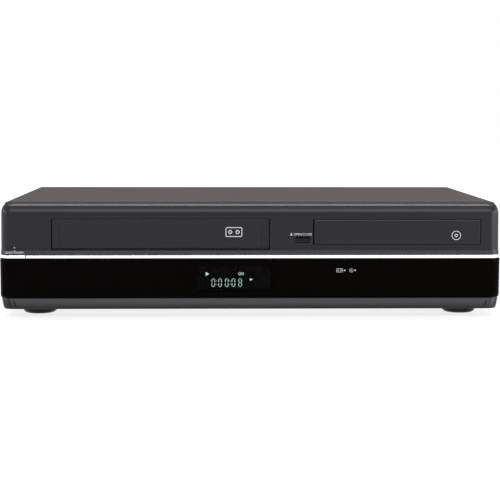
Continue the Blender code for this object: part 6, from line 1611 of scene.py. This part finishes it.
class Ink:
    """Flat marks on one upright plane, gathered into one piece."""

    def __init__(self, plane: float) -> None:
        """Starts with no marks on the plane at this Y."""
        self.shape = bmesh.new()
        self.span = (plane - HAIR, plane + HAIR)

    def fill(self, outline: Sequence[Pair]) -> None:
        """Adds a filled outline of (x, z) pairs."""
        add_prism(self.shape, outline, Axis.Y, self.span)

    def box(self, x: Pair, z: Pair) -> None:
        """Adds a filled rectangle with these spans."""
        self.fill([(x[0], z[0]), (x[1], z[0]), (x[1], z[1]), (x[0], z[1])])

    def dot(self, x: float, z: float, radius: float, steps: int) -> None:
        """Adds a filled circle."""
        self.fill(circle(x, z, radius, steps))

    def frame(self, outer: Sequence[Pair], inner: Sequence[Pair]) -> None:
        """Adds what lies between two outlines with equally many points.

        Args:
            outer: The outer outline as (x, z) pairs.
            inner: The inner outline.
        """
        loops = []
        front, back = self.span
        for points, y in ((outer, front), (inner, front), (inner, back), (outer, back)):
            loops.append([self.shape.verts.new((x, y, z)) for x, z in points])
        count = len(outer)
        for first, second in zip(loops, loops[1:] + loops[:1]):
            for number in range(count):
                after = (number + 1) % count
                self.shape.faces.new((first[number], first[after], second[after], second[number]))

    def ring(self, x: float, z: float, radii: Pair, steps: int) -> None:
        """Adds a flat ring with this outer and inner radius."""
        self.frame(circle(x, z, radii[0], steps), circle(x, z, radii[1], steps))

    def cassette(self, x: float, z: float, size: float) -> None:
        """Adds a plain cassette sign.

        Args:
            x: Its middle along X.
            z: Its middle along Z.
            size: Its width.
        """
        wide, high, line = size / 2, size * 0.29, size * 0.045
        outer_corner, inner_corner = size * 0.09, size * 0.05
        reel_x, reel = size * 0.22, (size * 0.12, size * 0.07)
        outer = rounded_rectangle((x - wide, x + wide), (z - high, z + high), outer_corner, steps=3)
        wide, high = wide - line, high - line
        inner = rounded_rectangle((x - wide, x + wide), (z - high, z + high), inner_corner, steps=3)
        self.frame(outer, inner)
        for side in (-1, 1):
            self.ring(x + side * reel_x, z, reel, steps=20)

    def disc(self, x: float, z: float, size: float) -> None:
        """Adds a plain disc sign.

        Args:
            x: Its middle along X.
            z: Its middle along Z.
            size: Its width.
        """
        edge, hub = (size * 0.5, size * 0.44), (size * 0.17, size * 0.10)
        self.ring(x, z, edge, steps=40)
        self.ring(x, z, hub, steps=40)

    def piece(self, name: str) -> bpy.types.Object:
        """Returns all the marks as one object."""
        return from_shape(name, self.shape)


@dataclass
class Display:
    """The lit digits and signs on the display behind the door.

    Attributes:
        colons: Where the two colons stand, in digits from the first one.
        signs: (place on the front, outline about it) of the play triangle and the arrow.
        reels: The middles of the tape sign's two reels on the front.
    """

    plane: float = -0.12097
    front_plane: float = -0.134
    digits: str = "00008"
    first_x: float = -0.0329
    pitch: float = 0.00583
    middle_z: float = 0.0306
    digit: Pair = (0.0025, 0.0068)
    bar: float = 0.00048
    bar_gap: float = 0.00025
    lit: dict[str, str] = field(default_factory=lambda: {"0": "abcdef", "8": "abcdefg"})
    colons: Pair = (0.5, 2.5)
    colon_lift: float = 0.0015
    colon_radius: float = 0.0003
    signs: tuple[tuple[Pair, tuple[Pair, ...]], ...] = (
        ((-0.0381, 0.0383), ((-0.0014, -0.0017), (0.0016, 0.0), (-0.0014, 0.0017))),
        ((0.0, 0.0333), ((-0.0009, -0.0012), (0.0014, 0.0004), (-0.0013, 0.0010))),
    )
    reels: tuple[Pair, ...] = ((-0.0099, 0.0384), (-0.0075, 0.0384))
    reel_radii: Pair = (0.0012, 0.0008)

    def behind(self, x: float, z: float) -> Pair:
        """Moves a place seen on the door's front to the display.

        Args:
            x: Its X on the front.
            z: Its Z on the front.

        Returns:
            Its X and Z on the display.
        """
        eye_x, eye_y, eye_z = EYE
        share = (self.plane - eye_y) / (self.front_plane - eye_y)
        return eye_x + (x - eye_x) * share, eye_z + (z - eye_z) * share

    def bars(self, sign: str) -> list[tuple[Pair, Pair]]:
        """Gives the bars of a digit.

        Args:
            sign: The digit.

        Returns:
            The X and Z span of each lit bar, about the digit's middle.
        """
        wide, high = self.digit[0] / 2, self.digit[1] / 2
        bar = self.bar / 2
        gap = bar + self.bar_gap
        upright = {
            "f": (-wide, 0.0, high),
            "b": (wide, 0.0, high),
            "e": (-wide, -high, 0.0),
            "c": (wide, -high, 0.0),
        }
        level = {"a": high, "g": 0.0, "d": -high}
        made = []
        for name in self.lit[sign]:
            if name in level:
                z = level[name]
                made.append(((-wide + gap, wide - gap), (z - bar, z + bar)))
            else:
                x, low, top = upright[name]
                made.append(((x - bar, x + bar), (low + gap, top - gap)))
        return made

    def build(self) -> None:
        """Makes all the lit marks as one piece."""
        ink = Ink(self.plane)
        for number, sign in enumerate(self.digits):
            x, z = self.behind(self.first_x + number * self.pitch, self.middle_z)
            for x_span, z_span in self.bars(sign):
                ink.box((x + x_span[0], x + x_span[1]), (z + z_span[0], z + z_span[1]))
        for number in self.colons:
            x, z = self.behind(self.first_x + number * self.pitch, self.middle_z)
            for lift in (-self.colon_lift, self.colon_lift):
                ink.dot(x, z + lift, self.colon_radius, steps=10)
        for place, outline in self.signs:
            x, z = self.behind(*place)
            ink.fill([(x + across, z + up) for across, up in outline])
        for place in self.reels:
            ink.ring(*self.behind(*place), self.reel_radii, steps=18)
        install(ink.piece("display_marks"), GLOW, Body.CASING)


@dataclass
class PrintedMarks:
    """The plain printed signs and words on the front.

    Attributes:
        lip: (y, z) of the lower and the upper edge of the leaning lip over the strip.
    """

    face: float = -0.131
    flap_face: float = -0.1307
    door_face: float = -0.13397
    lip: tuple[Pair, Pair] = ((-0.1324, 0.0547), (-0.1310, 0.0595))
    caret: Pair = (0.0349, 0.0716)
    caret_size: Pair = (0.0009, 0.0025)
    power: Pair = (-0.2051, 0.0596)
    power_radii: Pair = (0.0015, 0.0009)
    power_bar: Pair = (0.0002, 0.0019)
    open_word: tuple[str, float, float, float] = ("OPEN/CLOSE", 0.0450, 0.0716, 0.0027)
    power_word: tuple[str, float, float, float] = ("ON/STANDBY", -0.2049, 0.0559, 0.0026)
    flap_cassette: Triple = (-0.0150, 0.0745, 0.0145)
    tray_disc: Triple = (0.1790, 0.0715, 0.0080)
    door_cassette: Triple = (0.0770, 0.0413, 0.0056)
    door_disc: Triple = (0.0872, 0.0413, 0.0034)
    door_dots: Pair = (0.0814, 0.0906)
    dot_radius: float = 0.0006

    @property
    def lip_lean(self) -> float:
        """How far the lip over the strip leans back, in radians."""
        low, high = self.lip
        return math.atan2(high[0] - low[0], high[1] - low[1])

    def lip_y(self, z: float) -> float:
        """Returns Y of the lip's surface at a height."""
        low, high = self.lip
        return low[0] + (z - low[1]) * (high[0] - low[0]) / (high[1] - low[1])

    def word(
        self, text: str, x: float, z: float, height: float, face: float, lean: float = 0.0
    ) -> bpy.types.Object:
        """Writes a plain word, centred.

        Args:
            text: The word.
            x: Its middle along X.
            z: Its baseline.
            height: The size of its letters.
            face: Y of the face at the baseline.
            lean: How far the face leans back, in radians.

        Returns:
            The word as a mesh in place.
        """
        curve = bpy.data.curves.new("word", "FONT")
        curve.body = text
        curve.size = height
        curve.align_x = "CENTER"
        curve.extrude = HAIR
        drawn = bpy.data.objects.new("word", curve)
        bpy.context.scene.collection.objects.link(drawn)
        bpy.context.view_layer.update()
        mesh = bpy.data.meshes.new_from_object(drawn.evaluated_get(bpy.context.evaluated_depsgraph_get()))
        bpy.data.objects.remove(drawn, do_unlink=True)
        mesh.materials.clear()
        mesh.transform(Matrix.Translation((x, face, z)) @ Matrix.Rotation(QUARTER - lean, 4, "X"))
        return new_object("word", mesh)

    def bezel(self) -> bpy.types.Object:
        """Returns the ink on the bezel, with what is low enough laid on the leaning lip."""
        ink = Ink(self.face)
        x, z = self.caret
        wide, high = self.caret_size
        ink.fill([(x - wide, z), (x + wide, z), (x, z + high)])
        x, z = self.power
        wide, high = self.power_bar
        ink.ring(x, z, self.power_radii, steps=24)
        ink.box((x - wide, x + wide), (z, z + high))
        for vertex in ink.shape.verts:
            if vertex.co.z < self.lip[1][1]:
                vertex.co.y += self.lip_y(vertex.co.z) - self.face
        baseline = self.power_word[2]
        opening = self.word(*self.open_word, self.face)
        standby = self.word(*self.power_word, self.lip_y(baseline), self.lip_lean)
        return merge(ink.piece("face_marks"), opening, standby)

    def build(self) -> None:
        """Makes the ink on the bezel, the flap, the tray's front and the door."""
        install(self.bezel(), PRINT, Body.CASING)
        flap = Ink(self.flap_face)
        flap.cassette(*self.flap_cassette)
        install(flap.piece("flap_marks"), PRINT, Body.FLAP)
        tray = Ink(self.face)
        tray.disc(*self.tray_disc)
        install(tray.piece("tray_marks"), PRINT, Body.TRAY)
        door = Ink(self.door_face)
        door.cassette(*self.door_cassette)
        door.disc(*self.door_disc)
        for x in self.door_dots:
            door.dot(x, self.door_disc[1], self.dot_radius, steps=14)
        install(door.piece("door_marks"), PRINT, Body.DOOR)


@dataclass
class JackFaces:
    """What a jack shows: a coloured collar and a metal sleeve, each copied to its places."""

    scatter: Scatter
    collar: tuple[Pair, ...] = (
        (0.0040, 0.0), (0.0040, 0.0006), (0.0037, 0.0009), (0.0029, 0.0009), (0.0027, 0.0006), (0.0027, 0.0),
    )
    sleeve: tuple[Pair, ...] = (
        (0.0026, 0.0), (0.0026, 0.0014), (0.0024, 0.0016), (0.0018, 0.0016), (0.0017, 0.0014), (0.0017, 0.0),
    )

    def collars(self, name: str, places: Sequence[tuple[Triple, Triple]], finish: Finish) -> None:
        """Makes one piece of a collar at each (place, facing)."""
        collar = lathe("collar", self.collar, ORIGIN, UP, steps=28)
        install(self.scatter.spread(name, collar, places, finish), finish, Body.CASING)

    def sleeves(self, name: str, places: Sequence[tuple[Triple, Triple]]) -> None:
        """Makes one piece of a metal sleeve at each (place, facing)."""
        sleeve = lathe("sleeve", self.sleeve, ORIGIN, UP, steps=24)
        install(self.scatter.spread(name, sleeve, places, STEEL), STEEL, Body.CASING)


@dataclass
class ControlPanel:
    """The keys and jacks behind the door, with their printed signs.

    Attributes:
        lip: How far a key's flange stands out round its cap.
        sign: Half the size of a key's sign.
        sign_lift: How far a sign stands over the key's middle.
    """

    columns: tuple[float, ...] = (-0.130, -0.115, -0.100)
    rows: Pair = (0.0400, 0.0290)
    key: Pair = (0.0100, 0.0046)
    key_y: Pair = (-0.1231, -0.1192)
    key_edge: float = 0.0006
    lip: float = 0.0012
    flange_y: Pair = (-0.1194, -0.1183)
    panel: float = -0.1217
    sign: float = 0.0011
    sign_lift: float = 0.0046
    names: tuple[str, ...] = ("stop_key", "play_key", "record_key", "rewind_key", "forward_key", "dub_key")
    jack_x: tuple[float, ...] = (0.124, 0.139, 0.154, 0.169)
    jack_z: float = 0.033
    jack_front: float = -0.1277

    def keys(self) -> list[tuple[str, float, float]]:
        """Returns the name, X and Z of each key."""
        places = [(x, z) for z in self.rows for x in self.columns]
        return [(name, x, z) for name, (x, z) in zip(self.names, places)]

    def signs(self) -> None:
        """Prints a plain sign above each key."""
        ink = Ink(self.panel)
        size = self.sign
        for name, x, middle in self.keys():
            z = middle + self.sign_lift
            arrow = [(-size, z - size), (size, z), (-size, z + size)]
            if name == "stop_key":
                ink.box((x - size, x + size), (z - size, z + size))
            elif name == "play_key":
                ink.fill([(x + across, level) for across, level in arrow])
            elif name == "record_key":
                ink.dot(x, z, size, steps=20)
            else:
                flip = -1 if name == "rewind_key" else 1
                for shift in (-size, size):
                    ink.fill([(x + flip * (across + shift), level) for across, level in arrow])
        install(ink.piece("panel_marks"), PRINT, Body.CASING)

    def build(self, scatter: Scatter) -> None:
        """Makes the keys, the jacks' faces and the signs.

        Args:
            scatter: The tree that copies the jacks' faces.
        """
        wide, high = self.key[0] / 2, self.key[1] / 2
        for name, x, z in self.keys():
            cap = block(name + "_cap", (x - wide, x + wide), self.key_y, (z - high, z + high), self.key_edge)
            flange_x = (x - wide - self.lip, x + wide + self.lip)
            flange_z = (z - high - self.lip, z + high + self.lip)
            merge(cap, block("flange", flange_x, self.flange_y, flange_z))
            install(smooth(cap), PALE, name, [name])
        self.signs()
        places = [((x, self.jack_front, self.jack_z), (0.0, -1.0, 0.0)) for x in self.jack_x]
        faces = JackFaces(scatter)
        for word, place, finish in zip(("video", "left", "right"), places, (YELLOW, WHITE, RED)):
            faces.collars("front_collar_" + word, [place], finish)
        faces.sleeves("front_jack_sleeves", places)


@dataclass
class RearSockets:
    """The rear jacks' faces and the threads of the aerial sockets.

    Attributes:
        end: How far a thread's ridges keep from the sleeve's ends.
        mouth: (radius, how far in) of each step of the socket's mouth.
        crease: The angle from which the thread's edges stay sharp, in degrees.
    """

    columns: int = 5
    first_x: float = 0.046
    low_z: float = 0.026
    pitch: float = 0.015
    jack_front: float = 0.1317
    aerial_x: float = -0.197
    aerial_z: Pair = (0.028, 0.048)
    aerial_y: Pair = (0.1262, 0.1339)
    ridges: int = 9
    end: float = 0.0004
    chamfer: float = 0.0003
    shell: float = 0.0046
    root: float = 0.00475
    crest: float = 0.00498
    mouth: tuple[Pair, ...] = ((0.0016, 0.0), (0.0016, 0.0006), (0.0040, 0.0008))
    crease: float = 20.0

    def thread(self, z: float) -> bpy.types.Object:
        """Returns the ridged sleeve of one aerial socket.

        Args:
            z: Its height.

        Returns:
            The sleeve.
        """
        length = self.aerial_y[1] - self.aerial_y[0]
        ring: list[Pair] = [(self.shell, 0.0)]
        for number in range(self.ridges):
            low = self.end + (length - 2 * self.end) * number / self.ridges
            ring += [(self.root, low), (self.crest, low + self.end)]
        ring += [(self.root, length - self.chamfer), (self.shell, length)]
        ring += [(radius, length - deep) for radius, deep in self.mouth]
        ring.append((self.mouth[-1][0], 0.0))
        return lathe("thread", ring, (self.aerial_x, self.aerial_y[0], z), BACK, steps=36)

    def build(self, scatter: Scatter) -> None:
        """Makes the rear socket faces.

        Args:
            scatter: The tree that copies the jacks' faces.
        """
        faces = JackFaces(scatter)
        every = []
        for row, (word, finish) in enumerate((("low", RED), ("middle", WHITE), ("high", YELLOW))):
            z = self.low_z + row * self.pitch
            columns = [self.first_x + number * self.pitch for number in range(self.columns)]
            places = [((x, self.jack_front, z), BACK) for x in columns]
            faces.collars("rear_collars_" + word, places, finish)
            every += places
        faces.sleeves("rear_jack_sleeves", every)
        low, high = (self.thread(z) for z in self.aerial_z)
        low.name = "aerial_threads"
        install(smooth(merge(low, high), self.crease), STEEL, Body.CASING)


class CarriedNodes:
    """The CAD nodes that stay, each in the finish of its slot."""

    def build(self) -> None:
        """Gives every carried node its procedural finish."""
        for row in frame["record"]["subparts"]:
            node = frame["nodes"][row["node"]]
            finish = FINISH_BY_SLOT[row["material_slot"]]
            node.data.materials.clear()
            node.data.materials.append(finish.material())
            LOG.info("%s is finished as %s", row["node"], finish.name)


# Studio
def ray_kinds(kit: NodeKit) -> tuple[Wire, Wire]:
    """Returns 1 for the rays of the camera and through glass, and 1 for those of reflections."""
    path = kit.add("ShaderNodeLightPath", {}, {}, "Is Camera Ray")
    outputs = path.socket.node.outputs
    return path.most(Wire(kit, outputs["Is Transmission Ray"])), Wire(kit, outputs["Is Glossy Ray"])


@dataclass(frozen=True)
class SoftBox:
    """A lamp with a flat bright face.

    Attributes:
        name: The lamp's name.
        place: Where it hangs.
        target: Where it points.
        size: Its width and height.
        shine: How bright its face is, with the white backdrop as 1.
    """

    name: str
    place: Triple
    target: Triple
    size: Pair
    shine: float

    def hang(self) -> None:
        """Adds the lamp to the scene."""
        light = bpy.data.lights.new(self.name, "AREA")
        light.shape = "RECTANGLE"
        light.size, light.size_y = self.size
        light.energy = self.shine * math.pi * self.size[0] * self.size[1]
        made = bpy.data.objects.new(self.name, light)
        made.location = self.place
        aim = Vector(self.target) - Vector(self.place)
        made.rotation_euler = aim.to_track_quat("-Z", "Y").to_euler()
        bpy.context.scene.collection.objects.link(made)


@dataclass
class Studio:
    """The floor, the lamps, the world and the camera."""

    pitch_deg: float = 5.83
    yaw_deg: float = 1.44
    roll_deg: float = 0.107
    lens: float = 97.0
    sensor: float = 36.0
    far_clip: float = 50.0
    floor_half: float = 6.0
    floor_colour: Triple = (0.20, 0.20, 0.20)
    floor_roughness: float = 0.9
    near_glow: Triple = (0.80, 0.80, 0.80)
    far_glow: Triple = (1.0, 1.0, 1.0)
    unseen_glow: Triple = (0.50, 0.50, 0.50)
    shade_reach: float = 0.7
    world_light: float = 0.32
    world_shine: float = 0.29
    lamps: tuple[SoftBox, ...] = (
        SoftBox("key", (0.05, -1.45, 1.22), (0.0, -0.1, 0.05), (1.7, 1.15), 3.6),
        SoftBox("back", (0.0, 0.34, 1.75), (0.0, -0.1, 0.05), (2.4, 0.36), 14.0),
        SoftBox("end", (0.40, -0.26, 0.11), (0.21, -0.12, 0.06), (0.20, 0.18), 2.6),
        SoftBox("side", (-1.2, -0.22, 0.42), (-0.2, -0.12, 0.02), (1.4, 0.5), 2.8),
        SoftBox("side", (1.2, -0.22, 0.42), (0.2, -0.12, 0.02), (1.4, 0.5), 2.8),
    )

    def floor(self) -> None:
        """Lays the pale floor, white where the camera sees it far from the deck."""
        half = self.floor_half
        shape = bmesh.new()
        corners = ((-half, -half), (half, -half), (half, half), (-half, half))
        shape.faces.new([shape.verts.new((x, y, 0.0)) for x, y in corners])
        floor = from_shape("studio_floor", shape)
        paint = bpy.data.materials.new("floor_paint")
        paint.use_nodes = True
        kit = ShaderKit(paint.node_tree)
        shader = paint.node_tree.nodes["Principled BSDF"]
        shader.inputs["Base Color"].default_value = (*self.floor_colour, 1.0)
        shader.inputs["Roughness"].default_value = self.floor_roughness
        shader.inputs["Specular IOR Level"].default_value = 0.0
        x, y, _ = kit.split(kit.place())
        near = self.shade_reach**2
        far = ((x * x + y * y - near) / near).least(1.0).most(0.0)
        seen, mirrored = ray_kinds(kit)
        lit = kit.blend(seen.most(mirrored), self.unseen_glow, kit.blend(far, self.near_glow, self.far_glow))
        kit.join(lit, shader.inputs["Emission Color"])
        shader.inputs["Emission Strength"].default_value = 1.0
        floor.data.materials.append(paint)

    def world(self) -> None:
        """Lights the world evenly, and shows it white to the camera and through glass."""
        world = bpy.data.worlds.new("studio")
        world.use_nodes = True
        bpy.context.scene.world = world
        kit = ShaderKit(world.node_tree)
        background = world.node_tree.nodes["Background"]
        background.inputs["Color"].default_value = (1.0, 1.0, 1.0, 1.0)
        seen, mirrored = ray_kinds(kit)
        drop = self.world_shine - self.world_light
        strength = seen + (1.0 - seen) * (mirrored * drop + self.world_light)
        kit.join(strength, background.inputs["Strength"])

    def camera(self) -> None:
        """Sets the camera at the photograph's angle."""
        data = bpy.data.cameras.new("camera")
        data.lens = self.lens
        data.sensor_width = self.sensor
        data.clip_end = self.far_clip
        made = bpy.data.objects.new("camera", data)
        made.location = EYE
        turn = Matrix.Rotation(-math.radians(self.yaw_deg), 3, "Z")
        turn = turn @ Matrix.Rotation(QUARTER - math.radians(self.pitch_deg), 3, "X")
        turn = turn @ Matrix.Rotation(math.radians(self.roll_deg), 3, "Z")
        made.rotation_euler = turn.to_euler()
        bpy.context.scene.collection.objects.link(made)
        bpy.context.scene.camera = made

    def build(self) -> None:
        """Builds the whole studio."""
        bpy.context.scene.view_settings.view_transform = "Standard"
        self.floor()
        for lamp in self.lamps:
            lamp.hang()
        self.world()
        self.camera()
        LOG.info("studio ready")


def main() -> None:
    """Builds the studio, then the deck's pieces in order."""
    logging.basicConfig(level=logging.INFO, format="%(name)s: %(message)s")
    Studio().build()
    CarriedNodes().build()
    scatter = Scatter()
    TopCover().build(Perforation())
    FrontBezel().build()
    BrightStrip().build()
    GlossDoor().build()
    CassetteFlap().build()
    DiscTray().build()
    EjectButton().build()
    FeetAndScrews().build(scatter)
    Display().build()
    ControlPanel().build(scatter)
    RearSockets().build(scatter)
    PrintedMarks().build()


if __name__ == "__main__":
    main()
